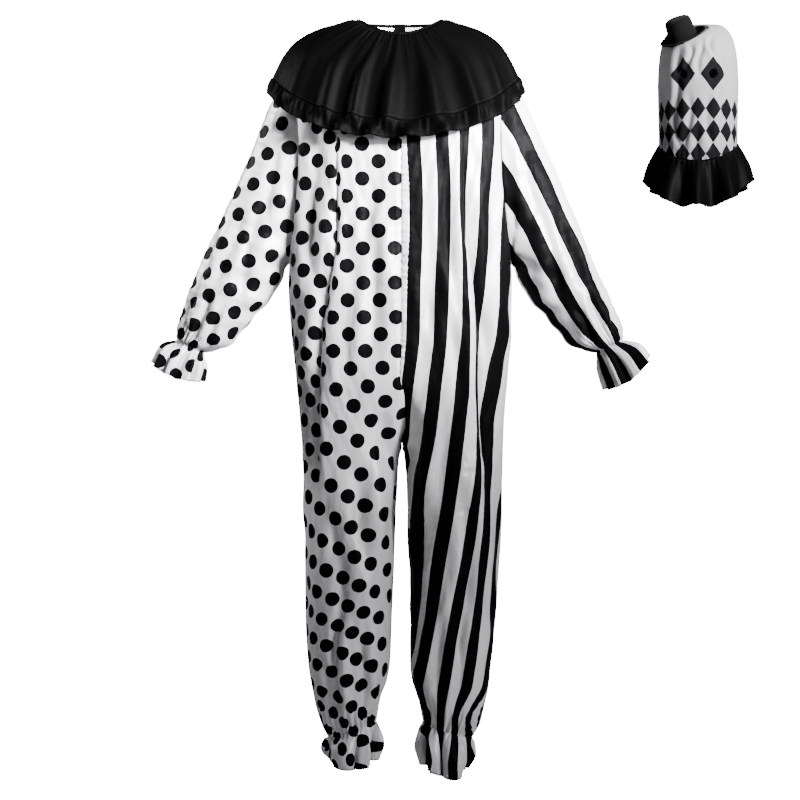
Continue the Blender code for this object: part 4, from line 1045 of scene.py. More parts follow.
Sleeve = namedtuple("Sleeve", "out_dotted out_striped z_out inner z_in depth")
SLEEVE = [
    Sleeve(0.224, 0.220, -0.062, 0.2245, -0.463, 0.0600),
    Sleeve(0.247, 0.240, -0.110, 0.229, -0.472, 0.0600),
    Sleeve(0.272, 0.266, -0.166, 0.234, -0.482, 0.0600),
    Sleeve(0.289, 0.285, -0.212, 0.239, -0.491, 0.0600),
    Sleeve(0.313, 0.311, -0.268, 0.247, -0.504, 0.0605),
    Sleeve(0.338, 0.334, -0.325, 0.257, -0.519, 0.0610),
    Sleeve(0.363, 0.358, -0.378, 0.269, -0.535, 0.0620),
    Sleeve(0.392, 0.381, -0.438, 0.284, -0.556, 0.0620),
    Sleeve(0.417, 0.408, -0.498, 0.304, -0.581, 0.0600),
    Sleeve(0.435, 0.431, -0.548, 0.328, -0.604, 0.0550),
    Sleeve(0.444, 0.443, -0.582, 0.354, -0.622, 0.0480),
    Sleeve(0.445, 0.444, -0.600, 0.378, -0.633, 0.0390),
    Sleeve(0.441, 0.440, -0.609, 0.393, -0.634, 0.0300),
]
WRIST_RUFFLES = {
    "dotted": [
        Ruffle(0.4410, -0.6090, 0.3930, -0.6340, 0.0300, 0.0000),
        Ruffle(0.4710, -0.6190, 0.3920, -0.6600, 0.0400, 0.0065),
        Ruffle(0.4880, -0.6530, 0.3980, -0.6870, 0.0480, 0.0090),
    ],
    "striped": [
        Ruffle(0.4400, -0.6090, 0.3930, -0.6340, 0.0300, 0.0000),
        Ruffle(0.4730, -0.6190, 0.4000, -0.6660, 0.0400, 0.0065),
        Ruffle(0.4920, -0.6430, 0.4140, -0.7030, 0.0480, 0.0090),
    ],
}
SLEEVE_ROWS = 110
SLEEVE_COLUMNS = 144
WRIST_RUFFLE_ROWS = 20
WRIST_WAVES = 10
WRIST_PLEATS = 36
WRIST_PLEAT = 0.0026  # how deep they are
WRIST_SAG = 0.014
SHOULDER_TUCK = 0.0012
BACK_SHIFT = 0.018  # how far the folds lie aside behind
SLEEVE_WAY = unit(np.array([0.416, 0, -0.909]))  # along the arm
SLEEVE_STRIPES = 7.2  # stripes from the outer edge to the underarm seam, in front
SLEEVE_EDGE = 0.111  # share of the way that the stripes are wider by at the outer edge
SLEEVE_DOTS = 6.6  # columns of dots
FIRST_DOT = np.array([0.2604, 0, -0.2427])  # a dot of the second column
SLEEVE_SLANT = 0.15  # rows a column
SLEEVE_DRIFT = 1.45  # columns a metre down the arm
SLEEVE_FOLDS = [
    Fold(0.352, -0.360, 0.428, -0.575, 0.0067, 0.010),
    Fold(0.300, -0.330, 0.380, -0.540, 0.0067, 0.014),
    Fold(0.262, -0.300, 0.330, -0.560, 0.0075, 0.013),
    Fold(0.372, -0.500, 0.408, -0.618, 0.0090, 0.008),
    Fold(0.340, -0.540, 0.396, -0.625, 0.0075, 0.007),
    Fold(0.412, -0.520, 0.432, -0.606, 0.0075, 0.007),
    Fold(0.246, -0.200, 0.262, -0.420, 0.0053, 0.012),
]


def spread_rings(rings, count):
    """More rings along a tube, evenly spaced on a smooth curve through the given ones."""
    rings = np.array(rings)
    gaps = np.linalg.norm(np.diff(rings, axis=0), axis=-1).mean(axis=1)
    places = np.concatenate([[0], np.cumsum(gaps)])
    return smooth(places, rings, np.linspace(0, places[-1], count))


def ruffle_rings(rows, turn, count):
    """A ruffle's rings, its hem lower in front and behind than at its edges."""
    rings = np.array([oval(row, turn) for row in rows])
    fall = unit(rings[-1].mean(axis=0) - rings[0].mean(axis=0))
    fine = spread_rings(rings, count)
    sag = np.abs(wave(1, turn))[None, :] * WRIST_SAG * np.linspace(0, 1, count)[:, None]
    return fine + sag[..., None] * fall


def arm_pattern(half, tube):
    """The print's columns and rows on a sleeve, alike in front and behind."""
    flat = tube - (tube @ SLEEVE_WAY)[..., None] * SLEEVE_WAY
    steps = np.linalg.norm(np.diff(flat, axis=1), axis=-1)
    round_arm = np.concatenate([np.zeros((len(tube), 1)), np.cumsum(steps, axis=1)], axis=1)
    share = 2 * round_arm / round_arm[:, -1:]
    share = np.minimum(share, 2 - share)
    down = (tube - FIRST_DOT) @ SLEEVE_WAY
    if half == "striped":
        edge = np.interp(down.mean(axis=1), [-0.10, 0.10], [0.72, 1.06])[:, None]
        held_back = SLEEVE_EDGE * (1 - np.exp(-share / 0.12))
        return np.stack([edge + (share - held_back) * SLEEVE_STRIPES, down / STRIPE], axis=-1)
    column = share * SLEEVE_DOTS - 1.02 + SLEEVE_DRIFT * np.clip(down, -0.10, 0.36)
    return np.stack([column, down / 0.033 - SLEEVE_SLANT * (column - 1) + 1], axis=-1)


SLEEVE_CUT = (0.44, 0.62)  # all round the arm, with the ruffle
for half, side, material in (("dotted", -1, dotted_satin), ("striped", 1, striped_satin)):
    turn = np.linspace(0, 1, SLEEVE_COLUMNS + 1)
    rings = [armhole(turn)]
    for row in SLEEVE:
        out = row.out_dotted if half == "dotted" else row.out_striped
        rings.append(oval(Ruffle(out, row.z_out, row.inner, row.z_in, row.depth, 0), turn))
    arm = spread_rings(rings, SLEEVE_ROWS)
    frill = ruffle_rings(WRIST_RUFFLES[half], turn, WRIST_RUFFLE_ROWS + 1)
    tube = np.concatenate([arm, frill[1:]])
    normals = outward(tube, closed=True)
    row = np.arange(len(tube))[:, None]
    below = np.clip(row - SLEEVE_ROWS + 1, 0, None) / WRIST_RUFFLE_ROWS
    last = SLEEVE_ROWS - 1
    tight = eased(1 - (last - row) / 20.0) * (row <= last) + (row > last) * np.exp(-(row - last) / 4.0)
    phase = 2 * math.pi * (WRIST_PLEATS * turn + 0.16 * wave(3, turn, 0.5))
    pleats = np.cos(phase) * (1 + 0.4 * wave(7, turn)) * WRIST_PLEAT * tight
    heights = smooth(np.arange(3), [item.wave for item in WRIST_RUFFLES[half]], 2 * below[:, 0])[:, None]
    waves = wave(WRIST_WAVES, turn, 0.7 * wave(2, turn))
    waves = waves + 0.3 * wave(2 * WRIST_WAVES, turn, 1.7 * wave(1, turn))
    facing = eased(np.abs(tube[..., 1]) / 0.030)
    shift = np.where(tube[..., 1] > 0, BACK_SHIFT, 0.0)[..., None] * np.array([1.0, 0, 0])
    sink = folded(tube + shift, SLEEVE_FOLDS) * facing * eased(row / 16.0) * (row <= last + 3)
    tuck = SHOULDER_TUCK * np.cos(2 * math.pi * 23 * turn + wave(2, turn))
    tuck = tuck * eased(1 - row / 9.0) * eased(row / 3.0)
    down_arm = tube[..., [2, 1, 0]] * np.array([1, 1, 1.4])
    ripple = rumpled(down_arm) * eased(row / 12.0) * (row <= last)
    cloth = tube + normals * (pleats + waves * heights - sink - ripple + tuck)[..., None]
    cloth = cloth * np.array([side, 1, 1])
    printed = arm_pattern(half, tube)
    mesh = cloth_mesh("sleeve_with_ruffle_" + half, [(cloth, printed, printed, 0, tube)])
    sewn_piece(mesh, material, half + "_satin", ["sleeve_" + half, "wrist_ruffle_" + half], SLEEVE_CUT)
    stitch_lines["hem"].append(thread_line(cloth[-1], outward(cloth, closed=True)[-1], HEM_RISE))

# ---- Cape collar --------------------------------------------------------------------------------------
# Black satin gathered into an elastic neckband, with a flounce gathered on to its edge. It is open down
# the back, where a short tab closes it.

# Rings round the neck: half a width, depths, heights, how quickly they fall, and the waves' height
Ring = namedtuple("Ring", "width front back z_side z_front z_back drop wave")
NECKBAND = [
    Ring(0.0855, 0.0675, 0.0615, 0.0212, -0.0158, 0.0240, 2.2, 0.0),
    Ring(0.0860, 0.0680, 0.0620, 0.0322, -0.0048, 0.0350, 2.2, 0.0),
]
COLLAR = [
    Ring(0.0875, 0.0695, 0.0635, 0.0262, -0.0108, 0.0302, 2.2, 0.0004),
    Ring(0.0935, 0.0740, 0.0680, 0.0300, -0.0110, 0.0312, 2.2, 0.0007),
    Ring(0.1220, 0.0890, 0.0800, 0.0220, -0.0320, 0.0180, 2.2, 0.0018),
    Ring(0.1620, 0.1080, 0.0990, 0.0090, -0.0660, -0.0150, 2.1, 0.0042),
    Ring(0.2050, 0.1260, 0.1170, -0.0170, -0.1050, -0.0600, 1.9, 0.0062),
    Ring(0.2290, 0.1400, 0.1300, -0.0470, -0.1480, -0.1050, 1.6, 0.0066),
    Ring(0.2460, 0.1500, 0.1390, -0.0800, -0.1875, -0.1450, 1.35, 0.0068),
]
FLOUNCE = [
    Ring(0.2463, 0.1502, 0.1392, -0.0803, -0.1879, -0.1454, 1.35, 0.0068),
    Ring(0.2530, 0.1550, 0.1440, -0.0930, -0.2060, -0.1640, 1.3, 0.0065),
    Ring(0.2570, 0.1590, 0.1480, -0.1070, -0.2235, -0.1830, 1.2, 0.0065),
]
COLLAR_COLUMNS = 560
COLLAR_ROWS = 52
FLOUNCE_ROWS = 16
COLLAR_WAVES = 19
FLOUNCE_WAVES = 24
COLLAR_SHIFT = -0.008  # how far the edge hangs towards the dotted half
COLLAR_SQUARE = 2.1
SIDE_WAVE = 0.4  # how high the waves are at the sides, beside the middle's
BACK_SLIT = 0.0010
BACK_RADIUS = 0.1
FINE_GATHER = 0.0011
FLOUNCE_TUCK = 0.0052
SEWN_SHARE = 0.6  # the share of the flounce that eases in to its seam


def full_ring(ring, angles, square, shift=0.0):
    """A ring round the neck: angle 0 is the front's middle, and it turns towards +X."""
    sine, cosine = np.sin(angles), np.cos(angles)
    depth = np.where(cosine > 0, ring.front, ring.back)
    z_end = np.where(cosine > 0, ring.z_front, ring.z_back)
    x = ring.width * signed_power(sine, 2 / square) + shift
    y = -depth * signed_power(cosine, 2 / square)
    return np.stack([x, y, ring.z_side + (z_end - ring.z_side) * np.abs(cosine) ** ring.drop], axis=-1)


def uneven_wave(angles, waves):
    """Gathers that differ in width and height, as cloth falls."""
    return np.cos(waves * angles + 0.9 * np.sin(3 * angles + 0.4)) * (1 + 0.3 * np.sin(2 * angles + 1.1))


def hanging_waves(angles, waves):
    """The same waves with rounder ridges than troughs, and lesser ones between them."""
    lesser = 0.22 * np.cos(2 * waves * angles + 1.8 * np.sin(3 * angles + 0.4))
    return uneven_wave(angles, waves) + lesser + 0.14 * np.cos(7 * angles + 1.2)


half_turn = math.pi - BACK_SLIT / BACK_RADIUS
angles = np.linspace(-half_turn, half_turn, COLLAR_COLUMNS + 1)
shifts = COLLAR_SHIFT * np.sin(np.linspace(0, math.pi / 2, len(COLLAR)))
cape = spread_rings([full_ring(row, angles, COLLAR_SQUARE, shift) for row, shift in zip(COLLAR, shifts)],
                    COLLAR_ROWS)
down = np.linspace(0, 1, COLLAR_ROWS)[:, None]
over_sides = SIDE_WAVE + (1 - SIDE_WAVE) * np.abs(np.cos(angles))
heights = smooth(np.linspace(0, 1, len(COLLAR)), [row.wave for row in COLLAR], down[:, 0])[:, None]
drift = angles + 0.05 * down * np.sin(5 * angles + 2.0)
fine = np.cos(96 * angles + 1.5 * np.sin(7 * angles)) * np.exp(-down / 0.16)
fine += 0.9 * np.cos(57 * angles + 1.2 * np.sin(5 * angles + 1)) * np.exp(-down / 0.30) * eased(down / 0.06)
fine += 1.1 * np.cos(37 * drift + 2 * np.sin(4 * angles)) * np.exp(-((down - 0.35) / 0.25) ** 2)
waves = heights * over_sides * hanging_waves(drift, COLLAR_WAVES)
cape = cape + outward(cape) * (waves + FINE_GATHER * fine)[..., None]
black_satin = satin("black_satin", BLACK_CLOTH, bump=0.2, rough=(0.46, 0.58), shine=0.0065)[0]
sewn_piece(plain_cloth("cape_collar", cape), black_satin, "black_satin", ["collar"], (1.30, 0.20),
           held="gathered")

frill = spread_rings([full_ring(row, angles, COLLAR_SQUARE, COLLAR_SHIFT) for row in FLOUNCE], FLOUNCE_ROWS)
down = np.linspace(0, 1, FLOUNCE_ROWS)[:, None]
seam_wave = FLOUNCE[0].wave * over_sides * hanging_waves(drift[-1], COLLAR_WAVES)
hem_wave = FLOUNCE[-1].wave * over_sides * hanging_waves(angles + 0.4, FLOUNCE_WAVES)
tuck = (angles * 11 + 0.5 * np.sin(9 * angles) + 0.35 * np.sin(23 * angles + 1)) % 1
tuck = (tuck - 0.5) * eased(tuck / 0.16)
lift = seam_wave * (1 - eased(down * 1.3)) + hem_wave * eased(down * 1.3)
lift = lift + FLOUNCE_TUCK * tuck * np.exp(-((down - 0.25) / 0.45) ** 2) * eased(down / 0.1)
frill = frill + outward(frill) * lift[..., None]
frill = frill + (cape[-1] - frill[0]) * (1 - eased(down / SEWN_SHARE))[..., None]
sewn_piece(plain_cloth("collar_frill", frill), black_satin, "black_satin", ["collar_flounce"],
           (1.40, 0.045), held="gathered")
stitch_lines["black"].append(thread_line(cape[-2], outward(cape)[-2], SEAM_RISE))
stitch_lines["black"].append(thread_line(frill[-3], outward(frill)[-3], SEAM_RISE))

BAND_ROWS = 9
BAND_RIB, BAND_CROWN = 0.0007, 0.0008
band = spread_rings([full_ring(row, angles, COLLAR_SQUARE) for row in NECKBAND], BAND_ROWS)
across = np.sin(np.linspace(0, math.pi, BAND_ROWS))[:, None]
ribs = np.cos(118 * angles + 1.5 * np.sin(11 * angles)) * (1 + 0.4 * np.sin(17 * angles))
band = band + outward(band) * (BAND_RIB * ribs * (0.5 + 0.5 * across) + BAND_CROWN * across)[..., None]
sewn_piece(plain_cloth("elastic_neckband", band), black_satin, "black_satin", ["neckband"],
           (0.50, 0.011), held="stretched", wall=0.0012)
stitch_lines["black"].append(thread_line(band[3], outward(band)[3], SEAM_RISE))

TAB_WIDTH = 0.022
TAB_HEIGHT = 0.026
TAB_BEHIND = 0.0046  # in front of the band's outer face
across, down = np.meshgrid(np.linspace(-0.5, 0.5, 13), np.linspace(0, 1, 15))
round_end = 1 - 0.18 * np.clip(down - 0.8, 0, 1) ** 2 / 0.04
tab = np.stack([across * TAB_WIDTH * round_end,
                NECKBAND[-1].back - TAB_BEHIND + 0.0006 * np.cos(across * math.pi) * np.sin(down * 3),
                NECKBAND[-1].z_back - down * TAB_HEIGHT], axis=-1)
sewn_piece(plain_cloth("closing_tab", tab), black_satin, "black_satin", ["neck_tab"],
           (TAB_WIDTH, TAB_HEIGHT), wall=0.0014)

# ---- Hood ---------------------------------------------------------------------------------------------
# A mask of white jersey in two panels, sewn over the crown and down the sides, with holes to see through
# and a harlequin print, and a flounce of black satin at its neck.

HOOD_CENTRE = (0.596, 0.0)
HOOD_TURN = math.radians(-9)
# Rows of the hood: height at the sides, half a width, depths, and how much lower the front is
Hood = namedtuple("Hood", "z width front back dip")
HOOD = [
    Hood(0.0225, 0.034, 0.0, 0.0, 0.000),
    Hood(0.0180, 0.048, 0.028, 0.030, 0.000),
    Hood(0.0060, 0.061, 0.055, 0.058, 0.000),
    Hood(-0.0180, 0.072, 0.077, 0.080, 0.000),
    Hood(-0.0560, 0.078, 0.090, 0.092, 0.003),
    Hood(-0.1000, 0.080, 0.093, 0.095, 0.010),
    Hood(-0.1500, 0.079, 0.090, 0.092, 0.020),
    Hood(-0.1900, 0.078, 0.086, 0.088, 0.032),
    Hood(-0.2160, 0.077, 0.083, 0.085, 0.042),
]
HOOD_DROP = 1.2
HOOD_SQUARE = 2.2
HOOD_COLUMNS = 104
HOOD_ROWS = 140
HOOD_FLOUNCE = [
    Ring(0.0773, 0.0833, 0.0853, -0.2165, -0.2585, -0.2300, 1.2, 0.0010),
    Ring(0.0860, 0.0900, 0.0920, -0.2360, -0.2820, -0.2550, 1.2, 0.0060),
    Ring(0.0950, 0.0980, 0.1000, -0.2610, -0.3150, -0.2880, 1.2, 0.0100),
    Ring(0.1010, 0.1050, 0.1060, -0.2910, -0.3510, -0.3250, 1.2, 0.0130),
]
HOOD_WAVES = 9
EYES = (-0.029, 0.029)
EYE_Z = -0.0905
EYE_WIDTH = 0.0155
EYE_HEIGHT = 0.019
HAT_SEAT = (-0.027, -0.064, -0.0195)
HAT_LEAN = math.radians(-21)
HAT_NOD = math.radians(24)
PRESS_REACH = 0.054  # how far from its axis the hat presses the hood in full
PRESS_SLOPE = 0.6
HOOD_GATHER = 0.0009
PRINT_UNIT = 0.1  # metres to one unit of the hood's pattern coordinates
PRINT_FLAT = 0.046  # beyond this, the hood's print is measured round the cloth
EYE_LOZENGE = (0.024 / PRINT_UNIT, 0.034 / PRINT_UNIT)
LOZENGE = (0.030 / PRINT_UNIT, 0.044 / PRINT_UNIT)
LOZENGE_START = 1.58  # the rows of lozenges are counted from here up, in the same units
LOZENGES_BELOW = -1.36  # and they lie below this height
# The jersey is white; this colour is darkened far below white as painted shade, for the hood standing in
# less light than the suit
JERSEY_WHITE_WITH_PAINTED_SHADE = (0.07, 0.0692, 0.0715)
JERSEY_SHINE = 0.1

hat_turn = np.array(Matrix.Rotation(HAT_LEAN, 3, "Y") @ Matrix.Rotation(HAT_NOD, 3, "X"))
hood_turn = np.array(Matrix.Rotation(HOOD_TURN, 3, "Z"))


def stood(points):
    """From the hood's own upright axis to its place beside the suit."""
    return points @ hood_turn.T + np.array([*HOOD_CENTRE, 0])


def pressed(points):
    """The hood's points, with those under the hat moved down along its axis to below its brim."""
    axis = hat_turn @ np.array([0, 0, 1])
    offsets = points - np.array(HAT_SEAT)
    rise = offsets @ axis
    aside = np.linalg.norm(offsets - rise[..., None] * axis, axis=-1)
    room = np.maximum(aside - PRESS_REACH, 0) * PRESS_SLOPE
    return points - np.maximum(rise - room, 0)[..., None] * axis


def hood_panel(depth_name, sign):
    angle = np.linspace(-math.pi / 2, math.pi / 2, HOOD_COLUMNS + 1)
    rows = []
    for row in HOOD:
        dip = row.dip if sign < 0 else row.dip / 3
        x = row.width * signed_power(np.sin(angle), 2 / HOOD_SQUARE)
        y = sign * getattr(row, depth_name) * np.cos(angle) ** (2 / HOOD_SQUARE)
        rows.append(np.stack([x, y, row.z - dip * np.cos(angle) ** HOOD_DROP], axis=-1))
    return pressed(spread_rings(rows, HOOD_ROWS))


HOOD_FOLDS = [
    Fold(-0.030, -0.022, -0.052, -0.200, 0.0048, 0.006),
    Fold(-0.012, -0.026, -0.020, -0.090, 0.0036, 0.005),
    Fold(0.006, -0.016, 0.002, -0.110, 0.0040, 0.005),
    Fold(0.024, -0.008, 0.036, -0.078, 0.0042, 0.005),
    Fold(0.044, -0.020, 0.060, -0.150, 0.0042, 0.006),
    Fold(-0.014, -0.118, -0.026, -0.255, 0.0036, 0.006),
    Fold(0.016, -0.120, 0.028, -0.256, 0.0040, 0.007),
    Fold(-0.044, -0.150, -0.040, -0.250, 0.0034, 0.005),
    Fold(0.048, -0.110, 0.044, -0.240, 0.0036, 0.006),
    Fold(0.000, -0.150, 0.002, -0.262, 0.0030, 0.006),
]
face, nape = hood_panel("front", -1), hood_panel("back", 1)
face_normals, nape_normals = outward(face), outward(nape)
for column in (0, -1):
    shared = unit(face_normals[:, column] + nape_normals[:, column])
    face_normals[:, column] = nape_normals[:, column] = shared
column, row = np.arange(HOOD_COLUMNS + 1), np.arange(HOOD_ROWS)[:, None]
calm = eased(column / 10.0) * eased((HOOD_COLUMNS - column) / 10.0) * eased(row / 40.0)
gather = HOOD_GATHER * np.cos(np.linspace(0, 46 * math.pi, HOOD_COLUMNS + 1))
gather = gather * eased(1 - (HOOD_ROWS - 1 - row) / 14.0)
flat_face = face.copy()
face = face + face_normals * (gather - folded(face, HOOD_FOLDS) * calm)[..., None]
behind = nape + np.array([0.006, 0, 0])
nape = nape + nape_normals * (gather - folded(behind, HOOD_FOLDS) * calm)[..., None]
for eye in EYES:  # the points nearest to an eye hole's edge are moved on to it
    aside = (flat_face[..., 0] - eye) / (EYE_WIDTH / 2)
    above = (flat_face[..., 2] - EYE_Z) / (EYE_HEIGHT / 2)
    reach = np.hypot(aside, above)
    rim = (np.abs(reach - 1) < 0.125)[..., None]
    change = (1 / np.maximum(reach, 0.1) - 1)[..., None]
    shift = change * np.stack([aside * EYE_WIDTH / 2, 0 * aside, above * EYE_HEIGHT / 2], axis=-1)
    face += np.where(rim, shift, 0)
    flat_face += np.where(rim, shift, 0)
stretch = np.linalg.norm(np.diff(flat_face, axis=1), axis=-1)
outer_part = np.abs(flat_face[:, 1:, 0] + flat_face[:, :-1, 0]) > 2 * PRINT_FLAT
steps = np.where(outer_part, stretch, np.diff(flat_face[..., 0], axis=1))
round_face = np.concatenate([0 * steps[:, :1], np.cumsum(steps, axis=1)], axis=1)
round_face -= round_face[:, HOOD_COLUMNS // 2: HOOD_COLUMNS // 2 + 1] - flat_face[:, HOOD_COLUMNS // 2, :1]
face_map = np.stack([round_face, flat_face[..., 2]], axis=-1) / PRINT_UNIT


def matt(name, shader_inputs, texture, output, grain, strength, relief):
    """A matt material with a fine texture's relief."""
    material, tree, shader = new_material(name)
    at = add_node(tree, "ShaderNodeTexCoord").outputs["Object"]
    surface = add_node(tree, texture, {"Vector": at, **grain})
    height = add_node(tree, "ShaderNodeBump", {
        "Strength": strength, "Distance": relief, "Height": surface.outputs[output]})
    set_inputs(tree, shader, {"Normal": height.outputs["Normal"], **shader_inputs})
    return material, tree, shader


jersey, tree, shader = matt("white_jersey", {"Roughness": 0.78}, "ShaderNodeTexVoronoi", "Distance",
                            {"Scale": 900}, strength=0.25, relief=0.0008)
x, z = pattern_place(tree)
from_eye = math_node(tree, "SUBTRACT", math_node(tree, "ABSOLUTE", x), EYES[1] / PRINT_UNIT)
eye_across = math_node(tree, "DIVIDE", math_node(tree, "ABSOLUTE", from_eye), EYE_LOZENGE[0])
from_eye = math_node(tree, "SUBTRACT", z, EYE_Z / PRINT_UNIT)
eye_down = math_node(tree, "DIVIDE", math_node(tree, "ABSOLUTE", from_eye), EYE_LOZENGE[1])
eye_mask = math_node(tree, "LESS_THAN", math_node(tree, "ADD", eye_across, eye_down), 1.0)
lozenge_x = math_node(tree, "DIVIDE", x, LOZENGE[0])
lozenge_z = math_node(tree, "DIVIDE", math_node(tree, "ADD", z, LOZENGE_START), LOZENGE[1])
lozenge = math_node(tree, "ADD", math_node(tree, "PINGPONG", lozenge_x, 0.5),
                    math_node(tree, "PINGPONG", lozenge_z, 0.5))
low_mask = math_node(tree, "MULTIPLY", math_node(tree, "LESS_THAN", lozenge, 0.5),
                     math_node(tree, "LESS_THAN", z, LOZENGES_BELOW))
# the jersey's white ground carries painted shade, darkened well below the satin's white
print_colour(tree, shader, math_node(tree, "MAXIMUM", eye_mask, low_mask), JERSEY_WHITE_WITH_PAINTED_SHADE, JERSEY_SHINE)

hood_mesh = cloth_mesh("hood_face_panel", [(stood(face), face_map, face_map, 0, face)])
shell = bmesh.new()
shell.from_mesh(hood_mesh)
layer = shell.loops.layers.uv["pattern"]
holes = []
for part in shell.faces:
    middle = sum((loop[layer].uv for loop in part.loops), Vector((0, 0))) / len(part.loops) * PRINT_UNIT
    for eye in EYES:
        if math.hypot((middle.x - eye) / (EYE_WIDTH / 2), (middle.y - EYE_Z) / (EYE_HEIGHT / 2)) < 1:
            holes.append(part)
bmesh.ops.delete(shell, geom=holes, context="FACES")
shell.to_mesh(hood_mesh)
shell.free()
HOOD_CUT = {"flat": (0.26, 0.27), "area": 0.058, "wall": 0.0012}  # each of the two
sewn_piece(hood_mesh, jersey, "white_jersey", ["hood_face"], **HOOD_CUT)
away = np.full((*nape.shape[:2], 2), 0.5)  # where the print is white
sewn_piece(cloth_mesh("hood_back_panel", [(stood(nape), away, away, 0, nape)]), jersey, "white_jersey",
           ["hood_back"], **HOOD_CUT)
for column in (2, -3):
    line, line_normals = stood(nape)[6:, column], outward(stood(nape))[6:, column]
    stitch_lines["white"].append(thread_line(line, line_normals, SEAM_RISE))

HOOD_FLOUNCE_COLUMNS = 300
HOOD_FLOUNCE_ROWS = 34
HEM_WAVE = 0.0016  # lesser waves at its hem
angles = np.linspace(0, 2 * math.pi, HOOD_FLOUNCE_COLUMNS + 1)
skirt = spread_rings([full_ring(row, angles, HOOD_SQUARE) for row in HOOD_FLOUNCE], HOOD_FLOUNCE_ROWS)
down = np.linspace(0, 1, HOOD_FLOUNCE_ROWS)[:, None]
heights = smooth(np.linspace(0, 1, 4), [row.wave for row in HOOD_FLOUNCE], down[:, 0])[:, None]
gathers = FINE_GATHER * np.cos(52 * angles + 1.5 * np.sin(5 * angles)) * np.exp(-down / 0.22)
lift = heights * uneven_wave(angles, HOOD_WAVES) + gathers
lift = lift + HEM_WAVE * down * np.cos(21 * angles + 2 * np.sin(4 * angles))
skirt = stood(skirt + outward(skirt, closed=True) * lift[..., None])
sewn_piece(plain_cloth("hood_skirt", skirt), black_satin, "black_satin", ["hood_flounce"],
           (0.66, 0.10), held="gathered")
skirt_normals = outward(skirt, closed=True)
stitch_lines["black"].append(thread_line(skirt[1], skirt_normals[1], 0.0005))
stitch_lines["black"].append(thread_line(skirt[-2], skirt_normals[-2], SEAM_RISE))

# ---- Little hat ---------------------------------------------------------------------------------------
# Pressed black felt: a crown with a rounded top and a curled brim, sewn on to the hood's front at a slant.

FELT = 0.0022
HAT_COLUMNS = 72
# Half sections: how far out from the axis, and how high
BRIM = [(0.021, 0.0), (0.030, 0.0002), (0.038, 0.0014), (0.0435, 0.0036), (0.0465, 0.0062)]
CROWN = [(0.0280, 0.0), (0.0272, 0.010), (0.0266, 0.020), (0.0260, 0.031), (0.0246, 0.0390),
         (0.0205, 0.0428), (0.0130, 0.0442), (0.0060, 0.0448), (0.0004, 0.0450)]


def turned_felt(profile, count, seat):
    """Rings round the hat's axis, a little uneven, in place on the hood."""
    angle = np.linspace(0, 2 * math.pi, HAT_COLUMNS + 1)
    profile = spread_rings(np.array(profile)[:, None, :], count)[:, 0]
    uneven = 1 + 0.010 * np.cos(2 * angle + 0.6) + 0.006 * np.cos(3 * angle)
    rings = np.stack([profile[:, :1] * np.cos(angle) * uneven, profile[:, :1] * np.sin(angle) * uneven,
                      profile[:, 1:] + 0.0006 * np.cos(2 * angle + 2.0) * profile[:, :1] / 0.046], axis=-1)
    rings[..., 2] += seat
    return stood(rings @ hat_turn.T + np.array(HAT_SEAT))


felt = matt("black_felt", {"Base Color": (0.0010, 0.0010, 0.0010, 1), "Specular IOR Level": 0.01,
                           "Roughness": 0.95, "Sheen Weight": 0.006},
            "ShaderNodeTexNoise", "Fac", {"Scale": 700, "Detail": 3}, strength=0.6, relief=0.0012)[0]
for name, profile, count, seat in (("brim", BRIM, 14, FELT + 0.0003), ("crown", CROWN, 30, FELT + 0.0006)):
    rings = turned_felt(profile, count, seat)
    sewn_piece(plain_cloth("felt_" + name, rings), felt, "black_felt", ["hat_" + name], None,
               wall=FELT * 0.9)

# ---- Stitching ----------------------------------------------------------------------------------------
# Polyester thread: short runs along the seams, the strip and the neckband, and close slanted loops over
# the ruffles' overlocked hems.

stitch_tree = bpy.data.node_groups.new("stitch_run", "GeometryNodeTree")
stitch_tree.interface.new_socket("Geometry", in_out="INPUT", socket_type="NodeSocketGeometry")
for label in ("Spacing", "Length", "Radius", "Slant"):
    stitch_tree.interface.new_socket(label, in_out="INPUT", socket_type="NodeSocketFloat")
stitch_tree.interface.new_socket("Thread", in_out="INPUT", socket_type="NodeSocketMaterial")
stitch_tree.interface.new_socket("Geometry", in_out="OUTPUT", socket_type="NodeSocketGeometry")
given = add_node(stitch_tree, "NodeGroupInput").outputs
path = add_node(stitch_tree, "GeometryNodeMeshToCurve", {"Mesh": given["Geometry"]})
runs = add_node(stitch_tree, "GeometryNodeCurveToPoints", {
    "Curve": path.outputs["Curve"], "Length": given["Spacing"]}, mode="LENGTH")
bead = add_node(stitch_tree, "GeometryNodeMeshCylinder", {
    "Vertices": 5, "Radius": given["Radius"], "Depth": given["Length"]})
tilt = add_node(stitch_tree, "ShaderNodeCombineXYZ", {"X": given["Slant"]})
lean_by = add_node(stitch_tree, "FunctionNodeEulerToRotation", {"Euler": tilt.outputs["Vector"]})
leaned = add_node(stitch_tree, "FunctionNodeRotateRotation", {
    "Rotation": runs.outputs["Rotation"], "Rotate By": lean_by.outputs["Rotation"]}, rotation_space="LOCAL")
instances = add_node(stitch_tree, "GeometryNodeInstanceOnPoints", {
    "Points": runs.outputs["Points"], "Instance": bead.outputs["Mesh"],
    "Rotation": leaned.outputs["Rotation"]})
realized = add_node(stitch_tree, "GeometryNodeRealizeInstances", {
    "Geometry": instances.outputs["Instances"]})
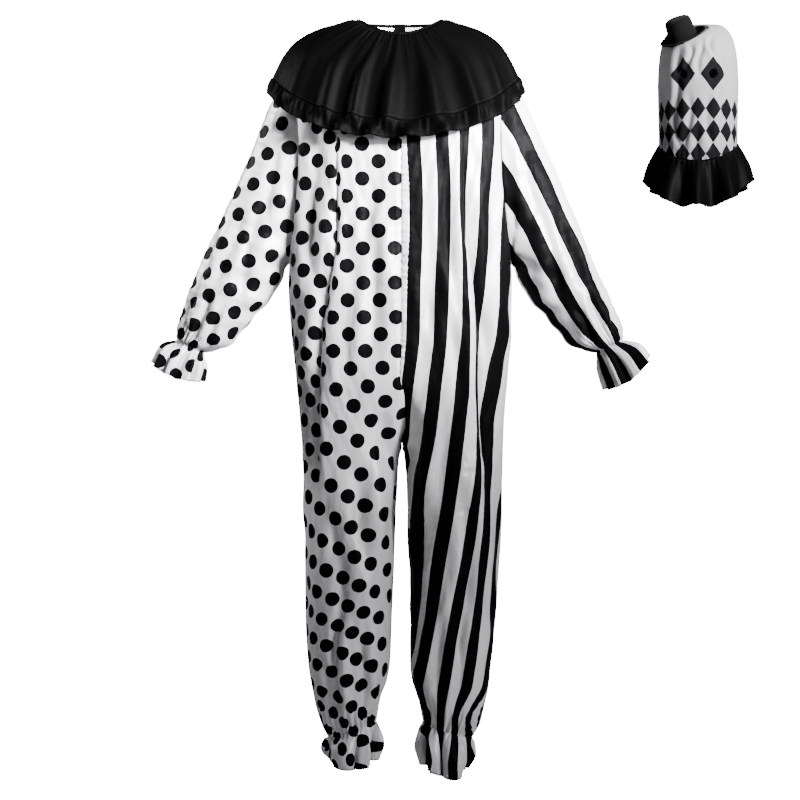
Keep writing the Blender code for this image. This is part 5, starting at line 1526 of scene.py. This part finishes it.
coloured = add_node(stitch_tree, "GeometryNodeSetMaterial", {
    "Geometry": realized.outputs["Geometry"], "Material": given["Thread"]})
add_node(stitch_tree, "NodeGroupOutput", {"Geometry": coloured.outputs["Geometry"]})

WHITE_THREAD = (0.70, 0.70, 0.72, 1)
BLACK_THREAD = (0.0030, 0.0030, 0.0032, 1)
Stitch = namedtuple("Stitch", "name lines spacing length radius slant colour slot")
for stitch in (
    Stitch("white_stitches", "white", 0.0032, 0.0024, 0.00013, 0.0, WHITE_THREAD, "dotted_satin"),
    Stitch("black_stitches", "black", 0.0034, 0.0025, 0.00024, 0.0, BLACK_THREAD, "black_satin"),
    Stitch("overlocked_hems", "hem", 0.0009, 0.0022, 0.00045, 0.35, BLACK_THREAD, "black_satin"),
):
    points, edges = [], []
    for line in stitch_lines[stitch.lines]:
        first = len(points)
        points += [tuple(point) for point in line]
        edges += [(index, index + 1) for index in range(first, len(points) - 1)]
    mesh = bpy.data.meshes.new(stitch.name + "_paths")
    mesh.from_pydata(points, edges, [])
    paths = bpy.data.objects.new(stitch.name + "_paths", mesh)
    bpy.context.scene.collection.objects.link(paths)
    sewing = paths.modifiers.new("sewing", "NODES")
    sewing.node_group = stitch_tree
    thread = matt(stitch.name + "_thread", {
        "Base Color": stitch.colour, "Specular IOR Level": 0.05, "Roughness": 0.6},
        "ShaderNodeTexNoise", "Fac", {"Scale": 2500}, strength=0.4, relief=0.0003)[0]
    values = {"Spacing": stitch.spacing, "Length": stitch.length, "Radius": stitch.radius,
              "Slant": stitch.slant, "Thread": thread}
    for item in stitch_tree.interface.items_tree:
        if item.in_out == "INPUT" and item.name in values:
            sewing[item.identifier] = values[item.name]
    bpy.context.view_layer.update()
    evaluated = paths.evaluated_get(bpy.context.evaluated_depsgraph_get())
    sewn = bpy.data.objects.new(stitch.name, bpy.data.meshes.new_from_object(evaluated))
    sewn.data.name = stitch.name
    bpy.data.objects.remove(paths)
    bpy.context.scene.collection.objects.link(sewn)
    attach(sewn, "root")
